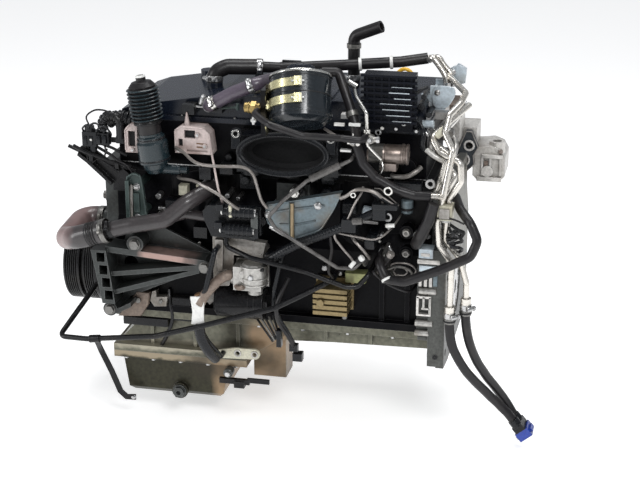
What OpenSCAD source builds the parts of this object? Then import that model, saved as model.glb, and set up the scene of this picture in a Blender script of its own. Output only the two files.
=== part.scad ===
// Four-cylinder van diesel engine, seen from its intake side.
// X runs along the crankshaft towards the gearbox, Y away from the intake side, Z up.
// The origin is the crankshaft axis on the face that the gearbox bell bolts to.

/* [Cylinder block] */
// Length of the cylinder block, from its front face to the bell flange
block_l = 530; // [500:5:600]
// Width of the crankcase
block_w = 220; // [210:2:240]
// Height of the deck above the crankshaft axis
deck_h = 215; // [205:1:240]
// Drop of the sump joint below the crankshaft axis
rail_drop = 36; // [34:1:42]
// Distance between neighbouring cylinders
bore_pitch = 94; // [90:1:98]
// Thickness of the front cover
cover_t = 22; // [18:1:30]

/* [Bell flange] */
// Thickness of the bell flange casting
flange_t = 30; // [26:1:36]
// Distance across the crankshaft between the lower bell bolts
bell_bolt_w = 260; // [256:1:264]
// Height between the lower and the middle bell bolts
bell_bolt_h = 130; // [120:1:140]
// Distance between the two upper bell bolts
bell_top_w = 150; // [130:2:160]
// Radius of the bell bolt holes
bell_hole_r = 6.5; // [5.5:0.5:7]

/* [Crankshaft] */
// Radius of the main journals
journal_r = 28; // [24:1:30]
// Running clearance of a shaft in its bore, on the radius
run_gap = 0.05; // [0.03:0.01:0.08]
// Radius of the damper's belt drums
damper_r = 70; // [64:1:71]
// Width of the damper
damper_w = 63; // [60:1:68]
// Circle through the flywheel bolt holes, its diameter
crank_pcd = 70; // [66:1:74]
// Radius of the flywheel bolt holes
crank_hole_r = 5; // [4:0.5:6]

/* [Cylinder head] */
// Thickness of the head gasket
gasket_t = 1.5; // [1:0.5:2.5]
// Height of the cylinder head
head_h = 73.5; // [70:0.5:90]
// Height of the cam cover
cam_cover_h = 45; // [40:1:52]
// Radius of the oil filler cap
filler_r = 24; // [22:1:26]

/* [Sump] */
// Height of the upper sump half
upper_sump_h = 76; // [70:1:90]
// Height of the lower sump half
lower_sump_h = 83; // [75:1:110]

/* [Fuel filter and air duct] */
// Radius of the fuel filter can
filter_r = 47; // [44:0.5:48]
// Lean of the fuel filter away from upright, in degrees
filter_lean = 30; // [26:1:32]
// Half width of the air duct's mouth
mouth_a = 66; // [60:1:68]
// Half height of the air duct's mouth
mouth_b = 27; // [24:1:28]
// Wall of the air duct
duct_wall = 6; // [4:0.5:7]

/* [Pipes and hoses] */
// Radius of the rear coolant pipes
rear_pipe_r = 5; // [4:0.5:5.5]
// Radius of the two hanging hoses
hang_r = 7.5; // [6:0.5:8]
// Radius of the long lower pipe
lower_pipe_r = 4.5; // [3.5:0.5:5]
// Radius of the small steel lines
line_r = 3; // [2.5:0.5:3.5]
// Radius of the black return line
return_r = 4; // [3:0.5:4.5]
// Radius of the front coolant hose
coolant_r = 13; // [11:0.5:14]
// Radius of the breather pipe
breather_r = 9; // [8:0.5:10]
// Radius of the charge air hose
charge_r = 11; // [9:0.5:12]
// Radius of the heater hose
heater_r = 10; // [8:0.5:11]
// Radius of the loop hose behind the block
loop_r = 7.5; // [6:0.5:8]

/* [Hidden] */

// Main levels and edges of the engine
rear_x = -flange_t;
front_x = rear_x - block_l;
cover_x = front_x - cover_t;
half_w = block_w / 2;
waist = half_w - 18;
rail_w = half_w + 15;
pan_w = half_w + 20;
rail_z = -rail_drop;
floor_z = rail_z - upper_sump_h;
sump_z = floor_z - lower_sump_h;
head_z = deck_h + gasket_t;
roof_z = head_z + head_h;
top_z = roof_z + cam_cover_h;
head_w = half_w - 10;
cover_w = half_w - 15;
rail_t = 12;
rail_pitch = (block_l - 80) / 6;
head_pitch = (block_l - 90) / 5;
stick_at = [-115, 132];

// Places are written for the standard engine and follow the real one, zone by zone:
// the front third and the middle move with the length, each side with the width,
// and the sump, the block's top and the head each with their own level.
function X(x) = x < -420 ? x + front_x + 560 : x < -150 ? x + (front_x + 560) / 2 : x;
function Y(y) = y < -40 ? y + 110 - half_w : y > 40 ? y - 110 + half_w : y;
function Z(z) = z > 292 ? z + top_z - 335 : z > 215 ? z + head_z - 216.5
    : z > 100 ? z + deck_h - 215 : z > -40 ? z : z + floor_z + 112;
function P(p) = [X(p.x), Y(p.y), Z(p.z)];
function bore_x(i) = (front_x + rear_x) / 2 + (i - 1.5) * bore_pitch;

// Fits
fit = 0.3;
seat = 0.05;
journal_bore = journal_r + run_gap;
nose_r = 20;
flange_r = 45;
shaft_r = 10;
turbo_r = 5;

// Straight corners: a box between two corner points
module box(a, b) translate(a) cube(b - a);
// Round bars that start at p and run along +X, +Y or +Z
module rod_x(p, r, l) translate(p) rotate([0, 90, 0]) cylinder(h = l, r = r, $fn = 64);
module rod_y(p, r, l) translate(p) rotate([-90, 0, 0]) cylinder(h = l, r = r, $fn = 64);
module rod_z(p, r, l) translate(p) cylinder(h = l, r = r, $fn = 64);
// An outline in X and Z, from y0 to y1, and one in Y and Z, from x0 to x1
module side_plate(points, y0, y1)
    translate([0, y1, 0]) rotate([90, 0, 0]) linear_extrude(y1 - y0) polygon(points);
module end_plate(points, x0, x1)
    translate([x0, 0, 0]) rotate([90, 0, 90]) linear_extrude(x1 - x0) polygon(points);
// A shape turned about an axis along X through p; its points are radius and place along X
module turned_x(p, points)
    translate(p) rotate([0, 90, 0]) rotate_extrude($fn = 96) polygon(points);
// Hexagon heads with a washer, seated at p and standing along an axis
module bolt_z(p, d, s) translate(p) mirror([0, 0, s < 0 ? 1 : 0]) {
    cylinder(h = d * 0.2, r = d * 1.05, $fn = 48);
    translate([0, 0, d * 0.2]) cylinder(h = d * 0.6, r = d * 0.9, $fn = 6);
}
module bolt_y(p, d, s) translate(p) rotate([s < 0 ? 90 : -90, 0, 0]) bolt_z([0, 0, 0], d, 1);
module bolt_x(p, d, s) translate(p) rotate([0, s < 0 ? -90 : 90, 0]) bolt_z([0, 0, 0], d, 1);

// Bent round bars: straight lengths joined by quarter rings of the bend radius
step = 0.15;
lap = 1;
function unit(v) = v / norm(v);
function mat(x, y, z, o) =
    [[x.x, y.x, z.x, o.x], [x.y, y.y, z.y, o.y], [x.z, y.z, z.z, o.z], [0, 0, 0, 1]];
function turn(p, i) = acos(unit(p[i] - p[i - 1]) * unit(p[i + 1] - p[i]));
function inset(p, i, bend) =
    (i == 0 || i == len(p) - 1) ? 0 : bend * tan(turn(p, i) / 2);
function route(points) = [for (q = points) P(q)];
function flat(points) = [for (q = points) [X(q.x), Z(q.y)]];
module rod_between(a, b, r) {
    d = b - a;
    translate(a) rotate([0, acos(d.z / norm(d)), atan2(d.y, d.x)])
        cylinder(h = norm(d), r = r, $fn = 32);
}
module bent_rod(p, r, bend) {
    for (i = [0 : len(p) - 2]) {
        d = unit(p[i + 1] - p[i]);
        rod_between(p[i] + d * inset(p, i, bend), p[i + 1] - d * inset(p, i + 1, bend), r);
    }
    extra = lap / bend * 180 / PI;
    for (i = [1 : len(p) - 2]) {
        a = unit(p[i] - p[i - 1]);
        n = unit(cross(a, unit(p[i + 1] - p[i])));
        side = cross(n, a);
        c = p[i] - a * inset(p, i, bend) + side * bend;
        multmatrix(mat(-side, a, n, c)) rotate([0, 0, -extra])
            rotate_extrude(angle = turn(p, i) + 2 * extra, $fn = 64)
                translate([bend, 0]) circle(r = r - step, $fn = 32);
    }
}
// A band or ferrule round a bar: centre, direction, radii and width
module band(p, d, r0, r1, w) {
    u = unit(d);
    difference() {
        rod_between(p - u * w / 2, p + u * w / 2, r1);
        rod_between(p - u * w, p + u * w, r0);
    }
}
function oval(a, b) = [for (i = [0 : 47]) [a * cos(i * 7.5), b * sin(i * 7.5)]];

// A free hose: rings of a given number of sides along its points
function along(p, i) = unit(p[min(i + 1, len(p) - 1)] - p[max(i - 1, 0)]);
function ring(p, i, r, sides) =
    let (t = along(p, i), n = unit(cross(t, [0, 1, 0])), b = cross(t, n))
    [for (k = [0 : sides - 1]) p[i] + r * (cos(k * 360 / sides) * n + sin(k * 360 / sides) * b)];
module swept_hose(p, r, sides) {
    last = (len(p) - 1) * sides;
    polyhedron([for (i = [0 : len(p) - 1]) each ring(p, i, r, sides)],
        [[for (k = [0 : sides - 1]) k],
         [for (k = [sides - 1 : -1 : 0]) last + k],
         for (i = [0 : len(p) - 2], k = [0 : sides - 1])
             [i * sides + k, (i + 1) * sides + k,
              (i + 1) * sides + (k + 1) % sides, i * sides + (k + 1) % sides]]);
}
hose_a_points = [[10, -168, 20], [10, -168, 5], [11, -168, -10], [13, -167, -26],
    [17, -165, -42], [23, -161, -57], [30, -156, -72], [38, -150, -87], [47, -143, -101],
    [56, -136, -114], [66, -129, -127], [76, -123, -140], [86, -119, -151],
    [95, -117, -161], [104, -116, -170], [112, -116, -180]];
hose_b_points = [[34, -160, 33], [34, -160, 18], [35, -159, 3], [37, -157, -13],
    [40, -154, -29], [44, -149, -45], [49, -143, -61], [55, -136, -77], [62, -128, -92],
    [69, -120, -107], [77, -112, -121], [85, -105, -135], [94, -99, -150],
    [103, -96, -165], [112, -96, -180]];
hose_end = [112, -106, -180];
hose_end_turn = 140;

// ---- Crankcase ----

module cylinder_block() color([0.14, 0.14, 0.15]) difference() {
    union() {
        end_plate([[-half_w, rail_z], [half_w, rail_z], [half_w, 90], [waist, 120],
            [waist, deck_h], [-waist, deck_h], [-waist, 120], [-half_w, 90]], front_x, rear_x);
        box([front_x, -rail_w, rail_z], [rear_x, rail_w, rail_z + rail_t]);
        box([front_x, -waist - 6, deck_h - 14], [rear_x - 10, waist + 6, deck_h]);
        for (i = [0 : 3], s = [-1, 1])
            rod_z([bore_x(i), s * (waist - 28), 100], 40, deck_h - 108);
        for (i = [0 : 4])
            box([bore_x(i) - bore_pitch / 2 - 4, half_w - 1, rail_z + rail_t - 1],
                [bore_x(i) - bore_pitch / 2 + 4, half_w + 8, 88]);
        for (x = [-108, -66])
            box([x - 4, Y(-116), rail_z + rail_t - 1], [x + 4, Y(-108), 88]);
        for (z = [95, 130])
            rod_y([-70, Y(-112), z], 11, 30);
        rod_y([-48, Y(-112), Z(128)], 10, 22);
        rod_y([-104, Y(-116), Z(98)], 9, 26);
        for (i = [1 : 3])
            rod_y([bore_x(i) - bore_pitch / 2, half_w - 2, 46], 17, 6);
    }
    rod_x([front_x - 1, 0, 0], journal_bore, block_l + 2);
    for (i = [1 : 3])
        rod_y([bore_x(i) - bore_pitch / 2, half_w + 1, 46], 13, 9);
}

module crankshaft() color([0.55, 0.55, 0.57]) difference() {
    union() {
        rod_x([cover_x - 18, 0, 0], journal_r, -cover_x + 18 - 20);
        rod_x([-21, 0, 0], flange_r, 19);
        rod_x([damper_front + 20, 0, 0], nose_r, cover_x - 17 - damper_front - 20);
        rod_x([damper_front + 14, 0, 0], nose_r + 6, 6);
        translate([damper_front + 4, 0, 0]) rotate([0, 90, 0]) cylinder(h = 11, r = 16, $fn = 6);
    }
    rod_x([-17, 0, 0], 12, 20);
    for (i = [0 : 7])
        rotate([i * 45 + 22.5, 0, 0]) rod_x([-18, 0, crank_pcd / 2], crank_hole_r, 20);
}
damper_front = cover_x - 30 - damper_w;

// Poly-vee grooves from s0, n of them, cut down from radius r
groove_pitch = 3.6;
groove_depth = 2.6;
function grooves(r, s0, n) = [for (i = [0 : n - 1]) each
    [[r, s0 + i * groove_pitch + 0.5], [r - groove_depth, s0 + (i + 0.5) * groove_pitch],
     [r, s0 + (i + 1) * groove_pitch - 0.5]]];

module crank_damper() color([0.07, 0.07, 0.08])
    turned_x([damper_front, 0, 0], concat(
        [[nose_r + seat, 20], [nose_r + 12, 20], [nose_r + 12, 28], [damper_r - 14, 28],
         [damper_r - 14, 0], [damper_r - 2, 0], [damper_r, 2]],
        grooves(damper_r, 4, 6),
        [[damper_r, 29], [damper_r - 8, 31], [damper_r - 8, 34], [damper_r, 36]],
        grooves(damper_r, 38, 5),
        [[damper_r, damper_w - 2], [damper_r - 2, damper_w], [damper_r - 14, damper_w],
         [damper_r - 14, 40], [nose_r + 10, 40], [nose_r + 10, damper_w + 12],
         [nose_r + seat, damper_w + 12]]));

pump_r = 45;
pulley_gap = 3;
pump_at = [damper_r + pump_r + pulley_gap, -15];
module front_cover() color([0.5, 0.5, 0.5]) difference() {
    union() {
        end_plate([[Y(-105), -28], [Y(105), -28], [Y(105), 70], [Y(88), 116],
            [Y(88), Z(212)], [Y(-88), Z(212)], [Y(-88), 116], [Y(-105), 70]], cover_x, front_x);
        rod_x([cover_x, pump_at.x, pump_at.y], 52, cover_t);
        rod_x([cover_x - 16, 0, 0], 48, 17);
        rod_x([cover_x - 14, -60, 100], 16, 15);
        for (y = [-68, 68], z = [144, 190])
            rod_x([cover_x - 4, y, Z(z)], 12, 5);
    }
    rod_x([cover_x - 20, 0, 0], journal_r + 0.5, cover_t + 22);
    rod_x([cover_x - 16, -60, 100], 12, 12);
}

module water_pump() color([0.6, 0.6, 0.6]) difference() {
    turned_x([cover_x, pump_at.x, pump_at.y],
        [[0, 0], [46, 0], [46, -8], [36, -10], [32, -26], [18, -30], [18, -38], [0, -38]]);
    rod_x([cover_x - 39, pump_at.x, pump_at.y], shaft_r + run_gap, 34);
}

module pump_pulley() color([0.1, 0.1, 0.11])
    turned_x([damper_front + 2, pump_at.x, pump_at.y], concat(
        [[0, 22], [shaft_r + 8, 22], [shaft_r + 8, 26], [pump_r - 6, 26], [pump_r - 6, 2],
         [pump_r - 1, 0], [pump_r, 1]],
        grooves(pump_r, 2, 6),
        [[pump_r, 26], [pump_r - 3, 32], [shaft_r + 6, 32], [shaft_r + 6, damper_w - 14],
         [shaft_r, damper_w - 12], [shaft_r, damper_w + 18], [0, damper_w + 18]]));

bell_w = bell_bolt_w / 2;
bell_h = bell_bolt_h / 2;
bell_top_z = 188;
module bell_holes(x0, l, r) {
    for (y = [-bell_w, bell_w], z = [-bell_h, bell_h])
        rod_x([x0, y, z], r, l);
    for (y = [-bell_top_w / 2, bell_top_w / 2])
        rod_x([x0, y, Z(bell_top_z)], r, l);
}
module bell_flange() color([0.62, 0.63, 0.62]) difference() {
    union() {
        end_plate([[-bell_w - 20, -bell_h - 20], [-95, -bell_h - 28], [95, -bell_h - 28],
            [bell_w + 16, -bell_h - 18], [bell_w + 16, bell_h + 24], [112, 145],
            [96, Z(206)], [-96, Z(206)], [-112, 145], [-bell_w - 20, bell_h + 54]], -13, 0);
        end_plate([[-half_w - 2, rail_z + 14], [half_w + 2, rail_z + 14], [half_w + 2, 88],
            [waist + 4, 118], [waist + 4, deck_h - 16], [-waist - 4, deck_h - 16],
            [-waist - 4, 118], [-half_w - 2, 88]], rear_x, -12);
        bell_holes(-28, 28, bell_hole_r + 8);
        box([-27, -bell_w - 20, -bell_h - 18], [-12, -bell_w - 14, bell_h + 52]);
        for (z = [44, 18, -8, -36])
            rod_x([-44, -bell_w - 8, z], 6.5, 34);
        for (z = [-50, 5, 31, 95])
            box([-24, -bell_w - 18, z - 2], [-10, -half_w, z + 2]);
    }
    bell_holes(-30, 31, bell_hole_r);
    rod_x([rear_x - 1, 0, 0], journal_bore, 12);
    rod_x([-22, 0, 0], flange_r + 1, 23);
}

module upper_sump() color([0.30, 0.28, 0.25]) difference() {
    union() {
        side_plate([[front_x, rail_z], [rear_x, rail_z], [rear_x, rail_z - 33], [-190, rail_z - 36],
            [-280, rail_z - 40], [X(-335), floor_z], [front_x, floor_z], [front_x, floor_z + 14],
            [front_x + 44, rail_z - 16], [front_x, rail_z - rail_t]], -half_w - 2, half_w + 2);
        box([front_x, -rail_w, rail_z - rail_t], [rear_x, rail_w, rail_z]);
        box([front_x - 6, -pan_w, floor_z], [X(-333), pan_w, floor_z + rail_t]);
        for (i = [0 : 5], s = [-1, 1]) {
            x = front_x + 22 + (i + 0.5) * rail_pitch;
            box([x - 3, s * (half_w + 4) - 4, i < 3 ? floor_z + 8 : rail_z - 32],
                [x + 3, s * (half_w + 4) + 4, rail_z - 8]);
        }
        box([X(-328), Y(-100), Z(-150)], [X(-272), Y(-52), rail_z - 36]);
        rod_z([stick_at.x, Y(stick_at.y), rail_z - 30], 9, 30);
    }
    rod_z([stick_at.x, Y(stick_at.y), rail_z - 24], 4, 25);
}

module lower_sump() color([0.56, 0.50, 0.38]) {
    box([front_x - 6, -pan_w, floor_z - rail_t], [X(-333), pan_w, floor_z]);
    intersection() {
        side_plate([[X(-556), floor_z - 6], [X(-548), sump_z + 8], [X(-540), sump_z],
            [X(-388), sump_z], [X(-380), sump_z + 8], [X(-366), floor_z - 6]], -200, 200);
        end_plate([[-half_w - 5, floor_z], [-half_w, sump_z + 8], [-half_w + 8, sump_z],
            [half_w - 8, sump_z], [half_w, sump_z + 8], [half_w + 5, floor_z]], -600, -300);
    }
    rod_y([X(-455), Y(-119), sump_z + 11], 14, 20);
}
module drain_plug() color([0.35, 0.33, 0.30]) difference() {
    union() {
        rod_y([X(-455), Y(-122), sump_z + 11], 12, 3);
        translate([X(-455), Y(-128), sump_z + 11]) rotate([-90, 0, 0]) cylinder(h = 7, r = 10, $fn = 6);
    }
    translate([X(-455), Y(-129), sump_z + 11]) rotate([-90, 0, 0]) cylinder(h = 6, r = 4.5, $fn = 6);
}

// ---- Top end ----

module head_gasket() color([0.35, 0.36, 0.38]) difference() {
    box([front_x + 10, -head_w, deck_h], [rear_x - 12, head_w, head_z]);
    for (i = [0 : 3]) rod_z([bore_x(i), 0, deck_h - 1], 42, gasket_t + 2);
}
module cylinder_head() color([0.28, 0.28, 0.29]) {
    box([front_x + 10, -head_w, head_z], [rear_x - 12, head_w, roof_z]);
    for (i = [0 : 3])
        rod_y([bore_x(i), head_w - 1, head_z + 40], 24, 5);
    for (x = [-70, -110])
        rod_y([x, -head_w - 8, head_z + 22], 12, 9);
    rod_x([front_x - 2, 40, head_z + 35], 30, 14);
}
spigot_at = [-405, -30];
module cam_cover() color([0.10, 0.12, 0.16]) difference() {
    union() {
        side_plate([[front_x + 15, roof_z], [rear_x - 15, roof_z], [rear_x - 15, top_z],
            [X(-380), top_z], [X(-520), top_z - 23], [front_x + 15, top_z - 32]], -cover_w, cover_w);
        box([front_x + 12, -head_w, roof_z], [rear_x - 13, head_w, roof_z + 8]);
        for (i = [0 : 3]) rod_z([bore_x(i), 45, top_z - 10], 14, 16);
        rod_z([X(-295), 55, top_z - 5], filler_r - 6, 13);
        rod_z([X(spigot_at.x), spigot_at.y, top_z - 20], 13, 25);
        for (i = [0 : 5])
            box([X(-360) + i * 52, -cover_w + 12, top_z - 2], [X(-354) + i * 52, 20, top_z + 2]);
    }
    rod_z([X(-295), 55, top_z - 4], filler_r - 10, 20);
}
module filler_cap() color([0.05, 0.05, 0.05]) {
    difference() {
        rod_z([X(-295), 55, top_z + 8 + fit], filler_r, 12);
        for (i = [0 : 11])
            translate([X(-295), 55, 0]) rotate([0, 0, i * 30]) rod_z([filler_r + 2.5, 0, top_z], 4, 30);
    }
    rod_z([X(-295), 55, top_z + 2], filler_r - 10 - fit, 7);
    box([X(-295) - 16, 52, top_z + 20], [X(-295) + 16, 58, top_z + 26]);
}
module oil_separator() color([0.07, 0.09, 0.13]) {
    box([-138, -head_w - 33, roof_z + 24], [-58, -head_w - 5, top_z + 56]);
    box([-138, -head_w - 6, roof_z + 24], [-58, -cover_w, roof_z + 40]);
    box([-132, -head_w - 10, roof_z + 6], [-64, -head_w, roof_z + 30]);
    for (i = [0 : 8])
        box([-142, -head_w - 37, roof_z + 26 + i * 9], [-54, -head_w - 30, roof_z + 29.5 + i * 9]);
    for (i = [0 : 6])
        box([-134 + i * 11.5, -head_w - 35.5, roof_z + 24], [-131 + i * 11.5, -head_w - 30, top_z + 54]);
}

module large_bolts() color([0.66, 0.66, 0.66]) {
    bolt_y(P([-391, -166, 65]), 9, -1);
    bolt_y(P(bracket_boss), 9, -1);
    bolt_y(P([-556, -166, -22]), 9, -1);
    for (z = [95, 130])
        bolt_y([-70, Y(-112), z], 6.5, -1);
    bolt_y(P([-362, -166, 52]), 8, -1);
    for (y = [-68, 68], z = [144, 190])
        bolt_x([cover_x - 4, y, Z(z)], 8, -1);
}
pan_pitch = (X(-333) - front_x - 35) / 4;
module small_bolts() color([0.5, 0.5, 0.48]) {
    for (i = [0 : 6], s = [-1, 1])
        bolt_z([front_x + 22 + i * rail_pitch, s * (rail_w - 5.5), rail_z - rail_t], 4.5, -1);
    for (i = [0 : 4], s = [-1, 1])
        bolt_z([front_x + 14 + i * pan_pitch, s * (pan_w - 6), floor_z - rail_t], 4.5, -1);
    for (i = [0 : 5], s = [-1, 1])
        bolt_z([front_x + 30 + i * head_pitch, s * (head_w - 2.5), roof_z + 8], 2.2, 1);
}

// ---- Brackets and housings on the intake side ----

bracket_boss = [-508, -166, 96];
module mount_bracket() color([0.42, 0.44, 0.43]) difference() {
    union() {
        side_plate(flat([[-586, 76], [-586, 66], [-566, -44], [-540, -44],
            [-534, -12], [-396, 52], [-381, 62], [-388, 78],
            [-470, 116], [-528, 116], [-540, 84]]),
            Y(-131), Y(-125));
        for (f = [[[-560, 84], [-392, 72], 5], [[-556, 40], [-400, 64], 4],
            [[-550, 8], [-400, 58], 4], [[-546, -26], [-520, -12], 4]])
            side_plate(flat([f[0] - [0, f[2]], f[1] - [0, f[2]], f[1] + [0, f[2]],
                f[0] + [0, f[2]]]), Y(-166), Y(-126));
        side_plate(flat([[-582, 84], [-566, -9], [-544, -9], [-556, 84]]), Y(-174), Y(-126));
        rod_y(P([-391, -166, 65]), 11, 56);
        rod_y(P(bracket_boss), 14, 44);
        rod_y(P([-556, -166, -22]), 12, 41);
        rod_y(P([-508, -130, 20]), 16, 20);
        rod_y(P([-440, -130, 50]), 14, 20);
    }
    for (z = [64, 42, 20, -2])
        translate(P([-572 + (62 - z) * 0.17, -180, z])) cube([14, 42, 16]);
    rod_y(P([-528, -131, 50]), 12, 20);
}

module cast_bracket() color([0.70, 0.66, 0.62]) {
    side_plate(flat([[-378, 118], [-378, 40], [-394, 8], [-386, -2], [-379, 4], [-378, 31],
        [-352, 34], [-345, 60], [-343, 88], [-296, 84], [-290, 112], [-343, 118]]),
        Y(-160), Y(-146));
    rod_y(P([-362, -166, 52]), 11, 56);
    rod_y(P([-302, -162, 89]), 6, 52);
    side_plate(flat([[-372, 116], [-367, 63], [-360, 63], [-358, 116]]), Y(-170), Y(-158));
}

shield_t = 2;
module heat_shield() color([0.45, 0.52, 0.55]) {
    side_plate(flat([[-286, 178], [-166, 206], [-176, 182], [-198, 146],
        [-244, 127], [-282, 150]]),
        Y(-170), Y(-170) + shield_t);
    side_plate(flat([[-288, 178], [-166, 206], [-166, 208], [-288, 180]]), Y(-170), Y(-154));
    side_plate(flat([[-246, 187], [-240, 188.5], [-240, 128], [-246, 127]]), Y(-173), Y(-170));
    rod_y(P([-283, -169, 165]), 5, 77);
    rod_y(P([-202, -169, 185]), 7, 77);
}

module valve_block() color([0.09, 0.09, 0.11]) {
    side_plate(flat([[-380, 174], [-390, 164], [-388, 150], [-376, 122], [-306, 120],
        [-294, 130], [-294, 176]]), Y(-172), Y(-163));
    rod_y(P([-384, -164, 166]), 5, 72);
    rod_y(P([-295, -164, 150]), 7, 72);
    for (z = [140, 170]) {
        rod_x(P([-348 + (z - 140) / 10, -183, z]), 9.5, 44);
        rod_x(P([-356 + (z - 140) / 10, -183, z]), 7, 9);
        box(P([-338, -180, z - 6]), P([-312, -171, z + 6]));
    }
    box(P([-306, -186, 128]), P([-296, -171, 172]));
}

module water_outlet() color([0.66, 0.67, 0.66]) {
    box(P([-338, -186, 38]), P([-292, -150, 78]));
    box(P([-342, -150, 34]), P([-288, -142, 80]));
    box(P([-330, -143, 42]), P([-300, -110, 74]));
    rod_y(P([-316, -192, 64]), 11, 8);
    rod_z(P([-305, -172, 30]), 12, 10);
    rod_x(P([-343, -170, 56]), 13, 6);
}

module oil_cooler() color([0.62, 0.54, 0.26]) {
    box(P([-216, -118, -8]), P([-154, -110, 46]));
    for (i = [0 : 4])
        box(P([-213, -160, -4 + i * 9.6]), P([-157, -116, 2.6 + i * 9.6]));
    box(P([-209, -156, -2]), P([-161, -117, 40]));
    rod_y(P([-200, -166, 18]), 6, 20);
}

module oil_filter_housing() color([0.10, 0.09, 0.09]) {
    rod_x(P([-372, -152, 4]), 25, 78);
    rod_x(P([-376, -152, 4]), 20, 6);
    rod_x(P([-318, -152, 4]), 26.5, 10);
    translate(P([-296, -152, 4])) rotate([0, 90, 0]) cylinder(h = 8, r = 16, $fn = 6);
    box(P([-362, -136, -18]), P([-306, -110, 24]));
}

module lug_plate() color([0.78, 0.76, 0.66]) difference() {
    union() {
        side_plate(flat([[-388, -109], [-318, -106], [-318, -88], [-352, -88],
            [-388, -96]]), -pan_w - 4, -pan_w);
        rod_y([X(-318), -pan_w - 4, Z(-97)], 9, 4);
    }
    for (x = [-347, -318]) rod_y([X(x), -pan_w - 5, Z(-97)], 3.5, 6);
}

// ---- Air duct and fuel filter ----

duct_at = [-259, -168, 265];
duct_lean = 10;
ear_x = mouth_a + duct_wall + 4;
ear_y = -28;
filter_foot = [-226, -184, 326];
filter_turn = 12;
strap_x = X(filter_foot.x) - filter_r;
shelf_z = Z(300);
module in_duct() translate(P(duct_at)) rotate([-90 - duct_lean, 0, 0]) children();
module air_duct() color([0.05, 0.05, 0.055]) difference() {
    union() {
        in_duct() {
            linear_extrude(52) polygon(oval(mouth_a + duct_wall, mouth_b + duct_wall));
            translate([0, 0, -1]) linear_extrude(8)
                polygon(oval(mouth_a + duct_wall + 2, mouth_b + duct_wall + 2));
            for (s = [-1, 1]) {
                translate([s * ear_x - 7, ear_y, 0]) cube([14, 24, 7]);
                translate([s * ear_x, ear_y, 0]) cylinder(h = 7, r = 9, $fn = 48);
            }
        }
        box(P([-340, -142, 224]), P([-176, -100, 284]));
        box([strap_x - 18, Y(-162), Z(276)], [strap_x - 2, Y(-130), shelf_z]);
        for (x = [-320, -256, -196])
            rod_z(P([x, -120, 216.6]), 18, 12);
    }
    in_duct() {
        translate([0, 0, -2]) linear_extrude(48) polygon(oval(mouth_a, mouth_b));
        for (s = [-1, 1]) translate([s * ear_x, ear_y, -2]) cylinder(h = 12, r = 3.5, $fn = 48);
    }
}

module in_filter() translate(P(filter_foot)) rotate([-filter_lean, 0, filter_turn]) children();
can_h = 70;
module fuel_filter() color([0.08, 0.10, 0.13]) in_filter() {
    rotate_extrude($fn = 96) polygon([[0, -8], [filter_r - 12, -8], [filter_r, -1],
        [filter_r, 4], [filter_r + 1.5, 4], [filter_r + 1.5, 8], [filter_r, 8],
        [filter_r, can_h - 6], [filter_r + 1.5, can_h - 5], [filter_r + 1.5, can_h - 2],
        [filter_r - 4, can_h], [21, can_h + 2], [21, can_h + 14], [0, can_h + 14]]);
    for (x = [-port_x, port_x - 14])
        translate([x, port_y, can_h + port_rise]) rotate([0, 90, 0]) cylinder(h = 14, r = 4.5, $fn = 48);
}
port_x = 32;
port_y = 6;
port_rise = 8.5;
// A place on the leaning filter, seen from the engine
function filter_at(p) = let (
    y = p.y * cos(filter_lean) + p.z * sin(filter_lean),
    z = p.z * cos(filter_lean) - p.y * sin(filter_lean))
    P(filter_foot) + [p.x * cos(filter_turn) - y * sin(filter_turn),
        p.x * sin(filter_turn) + y * cos(filter_turn), z];

band_t = 2.2;
band_w = 13;
module filter_clamps() color([0.85, 0.74, 0.36]) {
    in_filter() for (z = [16, 42]) difference() {
        union() {
            translate([0, 0, z]) cylinder(h = band_w, r = filter_r + fit + band_t, $fn = 96);
            translate([-4, -filter_r - 7, z]) cube([4, 8, band_w]);
            translate([-filter_r - 7, -7, z]) cube([8, 14, band_w]);
        }
        translate([0, 0, z - 1]) cylinder(h = band_w + 2, r = filter_r + fit, $fn = 96);
        translate([0, -80, z - 1]) cube([80, 160, band_w + 2]);
        translate([-12, 10, z - 1]) cube([80, 80, band_w + 2]);
    }
    box([strap_x - 14, Y(-192), shelf_z], [strap_x - 6, Y(-150), Z(372)]);
}

union_x = strap_x - 14 - fit;
module brass_union() color([0.75, 0.58, 0.25]) {
    rod_x([union_x - 30, Y(-170), Z(338)], 8, 24);
    rod_x([union_x - 8, Y(-170), Z(338)], 5, 8);
    translate([union_x - 20, Y(-170), Z(338)]) rotate([0, 90, 0])
        cylinder(h = 8, r = 10.5, $fn = 6);
    rod_y([union_x - 6, Y(-188), Z(338)], 4.5, 18);
}

// ---- Breather bellows, covers and the parts at the front ----

bellows_at = [-476, -134, 212];
bellows_lean = -8;
bellows_n = 9;
module in_bellows() translate(P(bellows_at)) rotate([0, bellows_lean, 0]) children();
module intake_bellows() color([0.06, 0.06, 0.065]) in_bellows() difference() {
    rotate_extrude($fn = 64) polygon(concat([[0, 66], [19, 66], [19, 84], [22, 86]],
        [for (i = [0 : bellows_n - 1]) each [[21, 88 + i * 6], [25, 89.5 + i * 6],
            [25, 91.5 + i * 6], [21, 93 + i * 6]]],
        [[22, 143], [16, 150], [8, 152], [8, 158], [0, 158]]));
    translate([0, 0, 140]) cylinder(h = 20, r = 5, $fn = 48);
}
module bellows_collar() color([0.09, 0.10, 0.12]) {
    in_bellows() rotate_extrude($fn = 64) polygon([[0, 0], [14, 0], [19, 8], [21, 16], [25, 18],
        [25, 50], [22, 54], [22, 60], [19, 62], [19, 65.7], [0, 65.7]]);
    box(P([-486, -118, 236]), P([-466, -100, 256]));
    rod_x(P([-470, -134, 218]), 8, 34);
    rod_x(P([-440, -134, 218]), 6, 16);
}

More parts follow.
